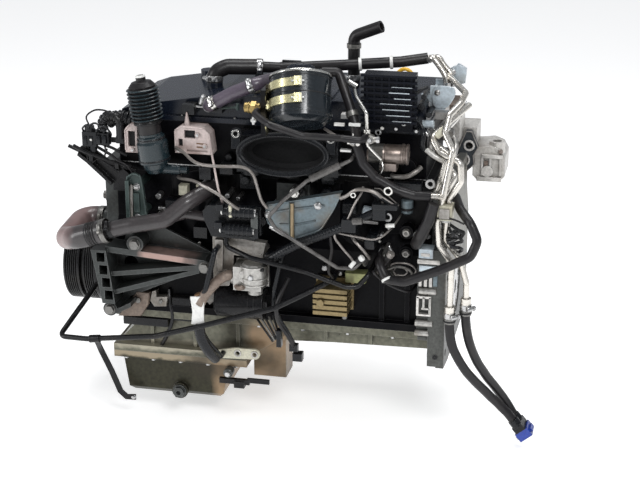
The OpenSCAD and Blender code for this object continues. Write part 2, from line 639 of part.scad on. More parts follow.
module actuator_covers() color([0.80, 0.70, 0.68]) {
    difference() {
        side_plate(flat([[-530, 240], [-530, 278], [-522, 287], [-509, 289],
            [-509, 240]]), Y(-128), Y(-100));
        box(P([-525, -129, 250]), P([-513, -122, 276]));
    }
    difference() {
        union() {
            side_plate(flat([[-446, 244], [-446, 282], [-436, 289], [-398, 288],
                [-388, 278], [-384, 244]]), Y(-128), Y(-100));
            translate(P([-428, -118, 288])) cylinder(h = 22, r1 = 5, r2 = 1.2, $fn = 48);
        }
        box(P([-430, -129, 270]), P([-412, -122, 283]));
        box(P([-440, -129, 256]), P([-433, -122, 268]));
        box(P([-426, -129, 248]), P([-392, -126, 251]));
    }
}

shield_foot = bracket_boss.z + 24;
module front_shield() color([0.34, 0.42, 0.40]) {
    side_plate(concat([[X(-490), shield_foot], [X(-524), shield_foot]], flat([[-524, 196],
        [-520, 206], [-512, 211], [-503, 208], [-498, 198]])), Y(-146), Y(-140));
    side_plate([[X(-524), shield_foot], [X(-524), Z(200)], [X(-518), Z(200)], [X(-518), shield_foot]],
        Y(-156), Y(-140));
    for (z = [136, 188]) rod_y(P([-508, -141, z]), 7, 49);
}

module loom_bracket() color([0.08, 0.08, 0.09]) {
    side_plate(flat([[-618, 236], [-606, 244], [-560, 212], [-546, 206], [-534, 196],
        [-536, 166], [-562, 166], [-562, 178], [-602, 214], [-618, 226]]), Y(-106), Y(-101));
    side_plate(flat([[-618, 226], [-602, 214], [-562, 178], [-560, 182], [-600, 219],
        [-616, 231]]), Y(-118), Y(-101));
    rod_y([X(-548), Y(-102), deck_h - 8], 5, 4);
    rod_y(P([-548, -102, 176]), 7, 10);
    bent_rod(route([[-634, -112, 240], [-600, -112, 226], [-552, -112, 212], [-520, -108, 204]]), 3, 10);
    bent_rod(route([[-622, -122, 244], [-606, -122, 236], [-560, -120, 220], [-526, -116, 212]]), 3, 10);
    for (x = [-592, -548])
        box([X(x) - 3, Y(-124), Z(x == -592 ? 219 : 209)], [X(x) + 3, Y(-102), Z(x == -592 ? 231 : 218)]);
}

module front_loom() color([0.05, 0.05, 0.055]) {
    translate(P([-558, -112, 280])) rotate([90, 0, 0]) {
        rotate_extrude(angle = 230, $fn = 64) translate([15, 0]) circle(r = 7, $fn = 32);
        for (i = [0 : 9]) rotate([0, 0, 6 + i * 22])
            rotate_extrude(angle = 10, $fn = 64) translate([15, 0]) circle(r = 8.7, $fn = 32);
    }
    rod_z(P([-543, -112, 258]), 7.2, 22.5);
    box(P([-550, -116, 250]), P([-537, -100, 262]));
    box(P([-606, -122, 244]), P([-582, -102, 268]));
    box(P([-584, -119, 246]), P([-562, -105, 266]));
    rod_z(P([-596, -112, 267]), 8, 9);
    rod_z(P([-590, -114, 234]), 6, 12);
    rod_z(P([-601, -110, 232]), 4, 14);
    box(P([-574, -105.5, 248]), P([-545, -101, 256]));
}

// ---- Hoses ----

module coolant_hoses() color([0.20, 0.18, 0.18]) {
    bent_rod(route([[-596.3, -60, 100], [-632, -60, 100], [-632, -150, 92], [-600, -186, 108],
        [-552, -192, 124]]), coolant_r + 6, 24);
    bent_rod(route([[-554, -191.8, 123.3], [-500, -194, 140], [-448, -190, 150], [-416, -172, 176],
        [-392, -146, 188], [-392, -104.4, 188]]), coolant_r, 20);
    bent_rod(route([[-478, -92.3, 128], [-478, -144, 128], [-424, -152, 150], [-367, -153, 146],
        [-367, -153, 118.3]]), 8, 12);
}
module charge_hose() color([0.27, 0.22, 0.27])
    bent_rod(route([[-392, -95.3, 322], [-392, -120, 322], [-350, -120, 346], [-312, -114, 362],
        [-288, -70, 362], [-288, -70, 335.3]]), charge_r, 12);
module breather_pipe() color([0.10, 0.10, 0.11]) {
    bent_rod(route([[-405, -30, 340.3], [-405, -30, 356], [-386, -22, 364], [-330, -4, 362]]), 13, 15);
    bent_rod(route([[-332, -4.6, 362.1], [-300, 0, 361], [-195, 4, 370], [-105, 20, 376],
        [-62, 30, 382]]), breather_r, 20);
}
heater_points = [[-185, 34, 335.3], [-185, 34, 412], [-138, 24, 432]];
module heater_hose() color([0.16, 0.16, 0.17]) difference() {
    bent_rod(route(heater_points), heater_r, 14);
    rod_between(P([-154, 27.4, 425.2]), P([-129, 22.1, 435.8]), heater_r - 3.5);
}
drop_from = [-158, -146, 346];
drop_to = [-146, -160, 318];
module filter_hoses() color([0.10, 0.10, 0.10]) {
    bent_rod(concat([filter_at([port_x + fit, port_y, can_h + port_rise]),
        filter_at([port_x + 26, port_y, can_h + port_rise])],
        route([drop_from, drop_to, [-142, -165, 286], [-132, -167, 258],
            [-112, -167, 236], [-76, -170, 219], [-50, -168, 212], [-24.3, -168, 212]])), 7.5, 9);
    bent_rod(route([[-293.3, -188.3, 338], [-293, -206, 338], [-262, -234, 330], [-214, -232, 316],
        [-160, -200, 306], [-127, -196, 303], [-127, -176.3, 303]]), 5.5, 11);
}
module rear_hoses() color([0.14, 0.13, 0.14]) {
    bent_rod(route([[8, -120, 198], [20, -156, 190], [40, -182, 176], [52, -188, 152],
        [42, -192, 126], [-4, -194, 102], [-60, -190, 76], [-90, -184, 76], [-104, -172, 98],
        [-104, -116.3, 98]]), loop_r, 16);
    bent_rod(route([[-18, -180, 204], [-26, -180, 176], [-38, -174, 148], [-48, -160, 128],
        [-48, -112.3, 128]]), 9, 12);
}
pipe_1 = [[-61.7, 30, 382], [-44, 34, 384], [-26, 0, 364], [-8, -24, 356], [12, -60, 350],
    [8, -92, 342], [-6, -122, 330], [-10, -138, 306], [6, -156, 284], [-6, -168, 210],
    [-14, -168, 170], [-10, -168, 134], [10, -168, 106], [10, -168, 20.3]];
pipe_2 = [[16, -40, 326], [-8, -92, 312], [-30, -134, 296], [-16, -146, 276], [18, -158, 266],
    [20, -160, 236], [2, -160, 206], [-2, -160, 140], [22, -160, 112], [34, -160, 70], [34, -160, 33.3]];
module rear_pipes() color([0.75, 0.75, 0.76]) {
    bent_rod(route(pipe_1), rear_pipe_r, 9);
    bent_rod(route(pipe_2), rear_pipe_r, 9);
    rod_x(P([-24, -168, 212]), rear_pipe_r + 0.5, 18);
    rod_z([10, -168, 20.3], hang_r + 1, 12);
    rod_z([34, -160, 33.3], hang_r + 1, 12);
}
module pipe_bracket() color([0.75, 0.77, 0.78]) {
    side_plate([[-44, Z(322)], [-20, Z(322)], [-14, Z(340)], [-18, Z(360)], [-44, Z(360)]], -66, -60);
    box([-58, -66, top_z], [-42, -58, Z(346)]);
    box([-46, -62, Z(336)], [-42, 20, Z(344)]);
    side_plate([[-22, Z(340)], [2, Z(348)], [4, Z(372)], [-10, Z(380)], [-22, Z(366)]], 12, 17);
    box([-46, 12, Z(336)], [-20, 17, Z(352)]);
}
module fuel_line() color([0.78, 0.77, 0.74]) {
    bent_rod(route([[-152, -140, 376], [-146, -152, 360], [-128, -162, 338], [-126, -162, 286],
        [-106, -154, 262], [-110, -136, 238.5], [-110, -108.3, 238.5]]), line_r, 7);
    rod_between(P([-160, -138, 378]), P([-146, -144, 372]), 5);
    rod_between(P([-127, -162, 312]), P([-126.5, -162, 294]), 6);
    rod_y(P([-127, -176, 303]), 5, 14);
}
module return_line() color([0.06, 0.06, 0.08])
    bent_rod(route([[-353, -168, 119.7], [-353, -170, 106], [-308, -190, 97],
        [-216, -195, 82], [-152, -195, 62], [-134, -190, 62], [-118, -178, 80], [-118, -110.3, 80]]),
        return_r, 9);
sleeve_from = [-150, -170, 263];
sleeve_to = [-216, -185, 230];
module vacuum_line() color([0.30, 0.28, 0.26]) {
    bent_rod(route([[-150, -142.3, 263], sleeve_from, sleeve_to, [-254, -192, 196],
        [-276, -196, 170], [-264, -198, 152], [-216, -202, 126], [-166, -194, 93], [-142, -180, 88],
        [-130, -170, 100], [-130, -150, 84], [-130, -110.3, 84]]), line_r, 6);
    sleeve = P(sleeve_to) - P(sleeve_from);
    rod_between(P(sleeve_from) + sleeve * 0.25, P(sleeve_to) - sleeve * 0.07, 5.5);
}
module lower_pipe() color([0.08, 0.08, 0.09]) {
    bent_rod(route([[-582.3, -86, -10], [-606, -86, -10], [-630, -140, -50], [-642, -182, -72],
        [-590, -192, -68], [-466, -206, -46], [-388, -210, -20], [-266, -205, 20], [-192, -172, 54],
        [-180, -150, 58], [-180, -110.3, 58]]), lower_pipe_r, 10);
    rod_between(P([-584, -192.8, -67]), P([-566, -195, -63.8]), lower_pipe_r + 2);
}

module wiring_harness() color([0.12, 0.12, 0.13]) {
    bent_rod(route([[-286, -146.3, 90], [-280, -178, 92], [-252, -184, 112], [-224, -186, 128],
        [-180, -186, 148], [-146, -182, 164], [-108, -178, 184], [-108, -92.3, 184]]), 7, 12);
    box(P([-160, -192, 152]), P([-138, -174, 172]));
    box(P([-112, -188, 174]), P([-92, -170, 192]));
    bent_rod(route([[-256, -183.5, 108], [-262, -180, 86], [-270, -186, 44], [-272, -184, 14],
        [-262, -178, -14], [-254, -168, -34], [-246, -156, -60], [-240, -148, -84]]), 3.4, 8);
    bent_rod(route([[-366, -170.3, 104], [-366, -192, 104], [-380, -200, 40], [-396, -198, 4],
        [-399, -190, -24], [-386, -178, -60], [-372, -150, -98], [-372, -134.3, -98]]), 4.5, 9);
}

module hose_clamps() color([0.78, 0.78, 0.77]) {
    band(P([-185, 34, 396]), [0, 0, 1], heater_r + fit, heater_r + 2, 7);
    band((P(drop_from) + P(drop_to)) / 2, P(drop_to) - P(drop_from), 7.8, 9.6, 8);
    band([10, -168, 8], [0, 0, 1], hang_r + fit, hang_r + 2, 8);
    band([34, -160, 21], [0, 0, 1], hang_r + fit, hang_r + 2, 8);
}

module hanging_hose_a() color([0.13, 0.12, 0.13]) swept_hose(hose_a_points, hang_r, 12);
module hanging_hose_b() color([0.13, 0.12, 0.13]) swept_hose(hose_b_points, hang_r, 12);
module at_hose_end() translate(hose_end) rotate([0, hose_end_turn, 0]) children();
module hose_fitting() color([0.10, 0.10, 0.11]) at_hose_end() {
    for (y = [-10, 10]) translate([0, y, 1.6]) cylinder(h = 14, r = 9, $fn = 48);
    translate([-9, -17, 12]) cube([18, 34, 12]);
}
module hose_cap() color([0.03, 0.13, 0.50]) at_hose_end() {
    translate([-12, -16, 24]) cube([24, 32, 16]);
    translate([-15, -10, 30]) cube([30, 20, 6]);
}

// ---- Far side ----

module port_plate() color([0.22, 0.28, 0.34]) difference() {
    side_plate([[-30, Z(164)], [-4, Z(160)], [8, Z(172)], [6, Z(188)], [14, Z(204)], [2, Z(232)],
        [-8, Z(232)], [-22, Z(196)], [-34, Z(180)]], Y(140), Y(150));
    rod_y([-2, Y(139), Z(206)], 6, 12);
    rod_y([-12, Y(139), Z(180)], 9, 12);
}
module rear_housing() color([0.68, 0.66, 0.63]) difference() {
    union() {
        side_plate([[4, Z(150)], [14, Z(140)], [50, Z(140)], [60, Z(150)], [60, Z(184)], [52, Z(198)],
            [36, Z(204)], [4, Z(200)]], Y(150), Y(220));
        box([-30, Y(150), Z(166)], [10, Y(210), Z(236)]);
        box([-104, head_w, Z(224)], [-14, Y(172), Z(270)]);
        rod_z([44, Y(166), Z(190)], 14, 20);
        rod_y([30, Y(144), Z(160)], 10, 8);
    }
    rod_z([44, Y(166), Z(190)], 8, 24);
    rod_y([-2, Y(149), Z(206)], 6, 20);
    rod_y([-12, Y(149), Z(180)], 9, 20);
}

turbo_at = [-300, 200, 186];
module exhaust_manifold() color([0.35, 0.27, 0.22]) {
    for (i = [0 : 3]) {
        rod_y([bore_x(i), head_w + 4 + fit, head_z + 40], 17, 40);
        box([bore_x(i) - 30, head_w + 4 + fit, head_z + 24], [bore_x(i) + 30, head_w + 12, head_z + 56]);
    }
    rod_x([bore_x(0) - 18, Y(140), head_z + 40], 20, 3 * bore_pitch + 36);
    rod_z([X(turbo_at.x) + 36, Y(140), Z(turbo_at.z) + 24], 20, head_z + 30 - Z(turbo_at.z) - 24);
}
module turbo_housing() color([0.48, 0.46, 0.44]) translate([X(turbo_at.x), Y(turbo_at.y), Z(turbo_at.z)]) {
    difference() {
        union() {
            turned_x([0, 0, 0], [[0, -66], [24, -66], [24, -40], [34, -38],
                [34, -14], [22, -12], [18, 0], [18, 8], [26, 12], [30, 14], [30, 48], [30, 60],
                [34, 60], [34, 66], [0, 66]]);
            rotate([0, 90, 0]) rotate_extrude($fn = 64) translate([34, -26]) circle(r = 14, $fn = 32);
            rotate([0, 90, 0]) rotate_extrude($fn = 64) translate([30, 30]) circle(r = 15, $fn = 32);
            rod_z([-26, 34, -62], 13, 62);
            box([20, -80, 6], [52, -20, 24 - fit]);
        }
        rod_x([-67, 0, 0], 22, 36);
        rod_x([-67, 0, 0], turbo_r + run_gap, 134);
        rod_x([26, 0, 0], 24, 41);
    }
}
module turbo_shaft() color([0.72, 0.73, 0.75]) translate([X(turbo_at.x), Y(turbo_at.y), Z(turbo_at.z)]) {
    rod_x([-52, 0, 0], turbo_r, 98);
    for (wheel = [[-50, 21, 16], [30, 23, 16]]) {
        turned_x([wheel.x, 0, 0], [[0, 0], [8, 0], [10, wheel.z - 3], [14, wheel.z], [0, wheel.z]]);
        for (k = [0 : 7]) rotate([k * 45, 0, 0])
            translate([wheel.x + 1, -0.8, 6]) cube([wheel.z - 2, 1.6, wheel.y - 6 - 0.6]);
    }
}

tube_top = 300;
module dipstick_tube() color([0.12, 0.12, 0.12]) difference() {
    union() {
        rod_z([stick_at.x, Y(stick_at.y), rail_z], 6, Z(tube_top) - rail_z);
        rod_z([stick_at.x, Y(stick_at.y), Z(tube_top) - 14], 8, 14);
        box([stick_at.x - 8, half_w, 56], [stick_at.x + 2, Y(stick_at.y), 68]);
    }
    rod_z([stick_at.x, Y(stick_at.y), rail_z - 1], 4, Z(tube_top) - rail_z + 2);
}
module dipstick() color([0.85, 0.60, 0.08]) {
    rod_z([stick_at.x, Y(stick_at.y), rail_z - 20], 2.5, Z(tube_top) - rail_z + 24);
    rod_z([stick_at.x, Y(stick_at.y), Z(tube_top) + fit], 8, 12);
    translate([stick_at.x, Y(stick_at.y), Z(tube_top) + 24]) rotate([90, 0, 0])
        rotate_extrude($fn = 64) translate([13, 0]) circle(r = 3.2, $fn = 32);
}

cylinder_block();
crankshaft();
crank_damper();
front_cover();
water_pump();
pump_pulley();
bell_flange();
upper_sump();
lower_sump();
drain_plug();
cylinder_head();
head_gasket();
cam_cover();
filler_cap();
oil_separator();
large_bolts();
small_bolts();
mount_bracket();
cast_bracket();
heat_shield();
valve_block();
water_outlet();
oil_cooler();
oil_filter_housing();
lug_plate();
air_duct();
fuel_filter();
filter_clamps();
brass_union();
intake_bellows();
bellows_collar();
actuator_covers();
front_shield();
loom_bracket();
front_loom();
wiring_harness();
coolant_hoses();
charge_hose();
breather_pipe();
heater_hose();
filter_hoses();
rear_hoses();
rear_pipes();
pipe_bracket();
fuel_line();
return_line();
vacuum_line();
lower_pipe();
hose_clamps();
hanging_hose_a();
hanging_hose_b();
hose_fitting();
hose_cap();
port_plate();
rear_housing();
exhaust_manifold();
turbo_housing();
turbo_shaft();
dipstick_tube();
dipstick();
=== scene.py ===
"""Looks of the van engine: materials, hoses and small fittings round the CAD part.

Points and radii given to the drawing functions are in millimetres, in the model's own frame:
x along the crankshaft towards the gearbox, y away from the camera's side, z up.
"""
import bpy
from math import cos, pi, radians, sin, sqrt
from mathutils import Matrix, Vector


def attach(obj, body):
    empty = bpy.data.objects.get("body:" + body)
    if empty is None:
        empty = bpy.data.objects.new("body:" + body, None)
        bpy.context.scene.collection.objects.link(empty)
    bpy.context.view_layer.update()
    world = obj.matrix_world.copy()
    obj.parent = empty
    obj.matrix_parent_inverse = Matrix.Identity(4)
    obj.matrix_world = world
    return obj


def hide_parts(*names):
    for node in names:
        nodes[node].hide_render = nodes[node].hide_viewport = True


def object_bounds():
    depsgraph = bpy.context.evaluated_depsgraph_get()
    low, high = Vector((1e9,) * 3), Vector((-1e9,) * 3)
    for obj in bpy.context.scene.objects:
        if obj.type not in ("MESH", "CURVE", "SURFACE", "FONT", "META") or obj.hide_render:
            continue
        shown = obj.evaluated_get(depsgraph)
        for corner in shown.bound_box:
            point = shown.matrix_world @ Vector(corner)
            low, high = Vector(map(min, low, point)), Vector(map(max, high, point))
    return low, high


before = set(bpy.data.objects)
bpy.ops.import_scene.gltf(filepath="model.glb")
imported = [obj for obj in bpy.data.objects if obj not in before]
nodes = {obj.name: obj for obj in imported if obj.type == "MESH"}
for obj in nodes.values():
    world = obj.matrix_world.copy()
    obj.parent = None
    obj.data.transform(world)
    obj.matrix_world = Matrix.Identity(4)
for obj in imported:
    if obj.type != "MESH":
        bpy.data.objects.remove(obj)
solid_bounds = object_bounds()
scene = bpy.context.scene

# ---- Camera ----
AZIMUTH, ELEVATION = radians(12), radians(20)
TARGET, DISTANCE = Vector((-0.235, 0.0, 0.065)), 2.6
VIEW_ANGLE = radians(23.64)
backward = Vector((sin(AZIMUTH) * cos(ELEVATION), -cos(AZIMUTH) * cos(ELEVATION),
                   sin(ELEVATION)))
right = Vector((cos(AZIMUTH), sin(AZIMUTH), 0))
cam = bpy.data.objects.new("Camera", bpy.data.cameras.new("Camera"))
scene.collection.objects.link(cam)
cam.matrix_world = (Matrix.Translation(TARGET + backward * DISTANCE)
                    @ Matrix((right, backward.cross(right), backward)).transposed().to_4x4())
cam.data.sensor_fit = "HORIZONTAL"
cam.data.angle = VIEW_ANGLE
scene.camera = cam

# ---- Materials ----
SHADER_SAMPLES = 4                          # of the nodes for worn and highlighted edges and for crevice grime and shade
ROUNDED_EDGE, WEAR_AND_HIGHLIGHT_EDGE = 0.0009, 0.0018    # radii in metres
CREVICE_SHADE_REACH = 0.02
RAGGED_BY, RAGGED_SCALE = 0.006, 60.0       # how far, and how finely, the borders of zones wander
RELIEF_DEPTH = 0.0006
CAD_SHARP_ANGLE, PIECE_SHARP_ANGLE = radians(28), radians(40)
M = {}


def material(name, color, rough, metal, dirt_and_shade_tint, cover, size, grain, bump, fine,
             coat=0.0, crevice_grime_and_shade=0.5, edge=0.0, zones=(), gloss=0.5):
    """A surface with patches of grime, fine grain in colour and relief, corners and recesses darkened as grime
    and painted shade, and edges lightened as wear and painted highlight.
    zones: (colour, strength, ((axis, outside, inside), ...)) areas of another colour, in metres."""
    m = M[name] = bpy.data.materials.new("m_" + name)
    m.use_nodes = True
    t = m.node_tree
    link = t.links.new
    b = t.nodes["Principled BSDF"]
    b.inputs["Metallic"].default_value = metal
    b.inputs["Coat Weight"].default_value = coat
    b.inputs["Specular IOR Level"].default_value = gloss

    def node(kind, operation=None, **values):
        x = t.nodes.new("ShaderNode" + kind)
        if operation:
            x.operation = operation
        for key, v in values.items():
            x.inputs[key.replace("_", " ")].default_value = v
        return x

    coord = node("TexCoord").outputs["Object"]

    def noise(scale, detail):
        x = node("TexNoise", Scale=scale, Detail=detail)
        link(coord, x.inputs["Vector"])
        return x

    def span(value, a, c, lo, hi):
        x = node("MapRange", From_Min=a, From_Max=c, To_Min=lo, To_Max=hi)
        link(value, x.inputs["Value"])
        return x.outputs["Result"]

    def mix(fac, one, two):
        x = t.nodes.new("ShaderNodeMix")
        x.data_type = "RGBA"
        link(fac, x.inputs["Factor"])
        for key, v in (("A", one), ("B", two)):
            i = [s for s in x.inputs if s.name == key and s.type == "RGBA"][0]
            if isinstance(v, tuple):
                i.default_value = (*v, 1)
            else:
                link(v, i)
        return [o for o in x.outputs if o.type == "RGBA"][0]

    def bevel(radius):
        x = node("Bevel", Radius=radius)
        x.samples = SHADER_SAMPLES
        return x.outputs["Normal"]

    patches = span(noise(size, 5.0).outputs["Fac"], 0.62 - 0.3 * cover, 0.78 - 0.3 * cover,
                   0.0, min(1.0, 0.25 + cover))
    specks = noise(fine, 3.0).outputs["Fac"]
    c = mix(span(specks, 0.3, 0.7, 0.0, 1.0), tuple(x * (1 - grain) for x in color),
            tuple(min(1.0, x * (1 + grain)) for x in color))
    if zones:
        ragged = node("MixRGB", Fac=RAGGED_BY)
        ragged.blend_type = "LINEAR_LIGHT"
        link(coord, ragged.inputs["Color1"])
        link(noise(RAGGED_SCALE, 2.0).outputs["Color"], ragged.inputs["Color2"])
        place = node("SeparateXYZ")
        link(ragged.outputs["Color"], place.inputs["Vector"])
    for other, strength, ramps in zones:
        inside = None
        for axis, outer, inner in ramps:
            ramp = span(place.outputs["XYZ"[axis]], outer, inner, 0.0, 1.0 if inside else strength)
            if inside:
                both = node("Math", "MULTIPLY")
                link(inside, both.inputs[0])
                link(ramp, both.inputs[1])
                ramp = both.outputs["Value"]
            inside = ramp
        c = mix(inside, c, other)
    c = mix(patches, c, dirt_and_shade_tint)
    # Edges lighten: partly wear, partly a painted highlight where edges catch the light.
    if edge:
        turn = node("VectorMath", "DOT_PRODUCT")
        link(bevel(WEAR_AND_HIGHLIGHT_EDGE), turn.inputs[0])
        link(node("NewGeometry").outputs["Normal"], turn.inputs[1])
        wear_and_highlight = span(turn.outputs["Value"], 0.985, 0.88, 0.0, edge)
        c = mix(wear_and_highlight, c, tuple(min(1.0, x * 1.8 + 0.12) for x in color))
    # Corners and recesses darken by ambient occlusion towards a deep tone of the grime colour. This is partly
    # grime that gathers there and partly painted shade.
    ao = node("AmbientOcclusion", Distance=CREVICE_SHADE_REACH)
    ao.samples = SHADER_SAMPLES
    c = mix(span(ao.outputs["AO"], 0.25, 0.85, crevice_grime_and_shade, 0.0), c, tuple(x * 0.35 for x in dirt_and_shade_tint))
    link(c, b.inputs["Base Color"])
    link(span(specks, 0.2, 0.8, max(0.05, rough - 0.08), min(1.0, rough + 0.1)), b.inputs["Roughness"])
    relief = node("Bump", Strength=bump, Distance=RELIEF_DEPTH)
    link(specks, relief.inputs["Height"])
    link(bevel(ROUNDED_EDGE), relief.inputs["Normal"])
    link(relief.outputs["Normal"], b.inputs["Normal"])


material("block", (0.003, 0.003, 0.004), 0.34, 0.0, (0.009, 0.008, 0.007), 0.35, 12, 0.3, 0.5, 180, gloss=0.08,
         edge=0.3)
material("head", (0.003, 0.003, 0.004), 0.34, 0.0, (0.008, 0.008, 0.007), 0.3, 16, 0.3, 0.4, 200, gloss=0.06,
         edge=0.3)
material("sump", (0.120, 0.118, 0.088), 0.34, 0.5, (0.045, 0.040, 0.028), 0.5, 10, 0.3, 0.35, 150, edge=0.5,
         zones=[((0.27, 0.18, 0.105), 0.85, ((0, -0.345, -0.325), (0, -0.262, -0.274), (2, -0.03, -0.06))),
                ((0.38, 0.35, 0.27), 0.85, ((2, -0.088, -0.096), (2, -0.109, -0.103), (0, -0.30, -0.36)))])
material("pan", (0.029, 0.027, 0.015), 0.34, 0.5, (0.040, 0.032, 0.022), 0.45, 9, 0.3, 0.3, 150, edge=0.4,
         zones=[((0.36, 0.25, 0.15), 0.85, ((0, -0.402, -0.388),)),
                ((0.40, 0.33, 0.23), 0.7, ((2, -0.124, -0.119),))])
material("alu", (0.42, 0.41, 0.39), 0.36, 0.8, (0.15, 0.12, 0.08), 0.35, 18, 0.25, 0.4, 220, edge=0.4)
material("alu_grey", (0.075, 0.080, 0.078), 0.38, 0.6, (0.035, 0.032, 0.027), 0.4, 15, 0.25, 0.4, 220, edge=0.6)
material("bracket", (0.044, 0.048, 0.047), 0.36, 0.5, (0.028, 0.026, 0.024), 0.4, 15, 0.25, 0.4, 220, edge=0.7,
         zones=[((0.46, 0.31, 0.27), 0.8, ((0, -0.506, -0.492), (0, -0.400, -0.430), (1, -0.132, -0.137),
                                           (2, 0.066, 0.072), (2, 0.090, 0.082)))])
material("alu_pale", (0.30, 0.285, 0.265), 0.42, 0.6, (0.12, 0.095, 0.07), 0.4, 20, 0.25, 0.4, 220, edge=0.4)
material("flange", (0.072, 0.074, 0.069), 0.42, 0.5, (0.036, 0.033, 0.027), 0.35, 16, 0.3, 0.5, 220, edge=0.5,
         zones=[((0.20, 0.19, 0.16), 0.8, ((0, -0.002, 0.0), (2, -0.02, 0.03)))])
material("pale_blue", (0.50, 0.57, 0.62), 0.34, 0.4, (0.22, 0.22, 0.20), 0.3, 24, 0.15, 0.3, 250, edge=0.3)
material("alu_white", (0.60, 0.58, 0.55), 0.38, 0.45, (0.22, 0.18, 0.14), 0.35, 20, 0.2, 0.4, 220, edge=0.3)
material("pipe", (0.70, 0.67, 0.62), 0.24, 0.9, (0.34, 0.29, 0.22), 0.15, 40, 0.06, 0.08, 300, crevice_grime_and_shade=0.7)
material("teal", (0.011, 0.021, 0.026), 0.24, 0.0, (0.020, 0.024, 0.026), 0.1, 20, 0.1, 0.05, 400, gloss=0.5,
         coat=0.2)
material("grey_rubber", (0.095, 0.090, 0.086), 0.3, 0.0, (0.03, 0.028, 0.026), 0.45, 40, 0.2, 0.2, 300,
         coat=0.2)
material("bronze", (0.29, 0.245, 0.22), 0.33, 0.75, (0.09, 0.065, 0.05), 0.35, 26, 0.2, 0.12, 250)
material("steel", (0.50, 0.50, 0.50), 0.28, 0.95, (0.18, 0.15, 0.11), 0.25, 30, 0.15, 0.2, 300)
material("bright", (0.66, 0.65, 0.62), 0.22, 1.0, (0.3, 0.27, 0.22), 0.2, 30, 0.12, 0.1, 300)
material("black_metal", (0.008, 0.008, 0.009), 0.30, 0.3, (0.03, 0.027, 0.024), 0.25, 25, 0.2, 0.2, 300,
         gloss=0.35, edge=0.3)
material("plastic", (0.006, 0.007, 0.009), 0.28, 0.0, (0.022, 0.020, 0.018), 0.25, 20, 0.2, 0.25, 400,
         gloss=0.3, edge=0.2)
material("plastic_blue", (0.006, 0.009, 0.017), 0.24, 0.0, (0.010, 0.012, 0.017), 0.3, 14, 0.2, 0.2, 400,
         gloss=0.3, edge=0.15)
material("fins", (0.004, 0.005, 0.009), 0.28, 0.0, (0.007, 0.008, 0.011), 0.3, 14, 0.2, 0.2, 400, gloss=0.1,
         edge=0.05)
material("can", (0.010, 0.014, 0.018), 0.2, 0.1, (0.05, 0.05, 0.045), 0.2, 12, 0.2, 0.1, 300, coat=0.3)
material("pink", (0.50, 0.42, 0.40), 0.5, 0.0, (0.18, 0.11, 0.09), 0.45, 22, 0.15, 0.3, 250)
material("shield", (0.036, 0.056, 0.052), 0.40, 0.4, (0.03, 0.03, 0.027), 0.35, 18, 0.2, 0.3, 250, edge=0.5)
material("heat", (0.15, 0.19, 0.21), 0.36, 0.6, (0.16, 0.12, 0.08), 0.35, 25, 0.2, 0.2, 250)
material("rubber", (0.010, 0.009, 0.010), 0.36, 0.0, (0.030, 0.027, 0.025), 0.3, 25, 0.2, 0.2, 350, gloss=0.35)
# The pink zone at the hose's left end, x below -0.6 m, is a painted highlight.
material("rubber_coolant", (0.034, 0.029, 0.030), 0.36, 0.0, (0.02, 0.018, 0.018), 0.4, 18, 0.2, 0.2, 350,
         coat=0.2, zones=[((0.30, 0.19, 0.18), 0.75, ((0, -0.600, -0.626), (1, 0.2, -0.2)))])
material("rubber_violet", (0.075, 0.060, 0.082), 0.34, 0.0, (0.03, 0.025, 0.03), 0.35, 18, 0.2, 0.15, 350,
         coat=0.25)
material("gold", (0.80, 0.74, 0.44), 0.24, 0.85, (0.35, 0.28, 0.14), 0.2, 30, 0.1, 0.1, 300,
         zones=[((0.008, 0.008, 0.009), 1.0, ((0, -0.2765, -0.2785),))])
material("brass", (0.36, 0.26, 0.10), 0.34, 0.8, (0.12, 0.08, 0.04), 0.4, 30, 0.2, 0.2, 300)
material("cooler", (0.24, 0.185, 0.095), 0.36, 0.75, (0.08, 0.06, 0.03), 0.45, 22, 0.2, 0.3, 250, crevice_grime_and_shade=0.25)
material("cream", (0.55, 0.53, 0.42), 0.45, 0.2, (0.25, 0.2, 0.13), 0.3, 30, 0.15, 0.2, 300)
material("white", (0.72, 0.72, 0.70), 0.5, 0.0, (0.30, 0.27, 0.23), 0.25, 35, 0.1, 0.1, 300)
material("blue", (0.010, 0.040, 0.30), 0.34, 0.0, (0.01, 0.02, 0.1), 0.25, 40, 0.15, 0.15, 300, coat=0.2)
material("slate", (0.045, 0.051, 0.058), 0.4, 0.4, (0.025, 0.025, 0.027), 0.35, 22, 0.2, 0.3, 250, edge=0.4)
material("exhaust", (0.13, 0.085, 0.06), 0.6, 0.5, (0.20, 0.10, 0.05), 0.5, 14, 0.3, 0.6, 160)
material("yellow", (0.72, 0.42, 0.03), 0.4, 0.0, (0.2, 0.1, 0.03), 0.2, 40, 0.15, 0.15, 300)
material("brown", (0.20, 0.115, 0.06), 0.42, 0.5, (0.07, 0.04, 0.025), 0.45, 20, 0.2, 0.4, 220)
material("line_grey", (0.26, 0.24, 0.225), 0.32, 0.5, (0.10, 0.085, 0.07), 0.35, 30, 0.2, 0.2, 300)
material("dull_steel", (0.20, 0.195, 0.185), 0.36, 0.8, (0.07, 0.06, 0.05), 0.35, 30, 0.2, 0.2, 300)
material("olive", (0.26, 0.27, 0.12), 0.4, 0.3, (0.09, 0.08, 0.04), 0.4, 30, 0.2, 0.3, 250)
material("tan", (0.30, 0.23, 0.14), 0.45, 0.4, (0.14, 0.09, 0.05), 0.4, 22, 0.2, 0.3, 250)
material("rust_grey", (0.21, 0.165, 0.135), 0.5, 0.3, (0.10, 0.06, 0.045), 0.5, 24, 0.25, 0.4, 220)
# Painted shade: a near-black surface inside holes and behind openings, where only shade would show.
material("hollow_shade", (0.002, 0.002, 0.003), 0.8, 0.0, (0.004, 0.004, 0.004), 0.2, 20, 0.2, 0.1, 300)

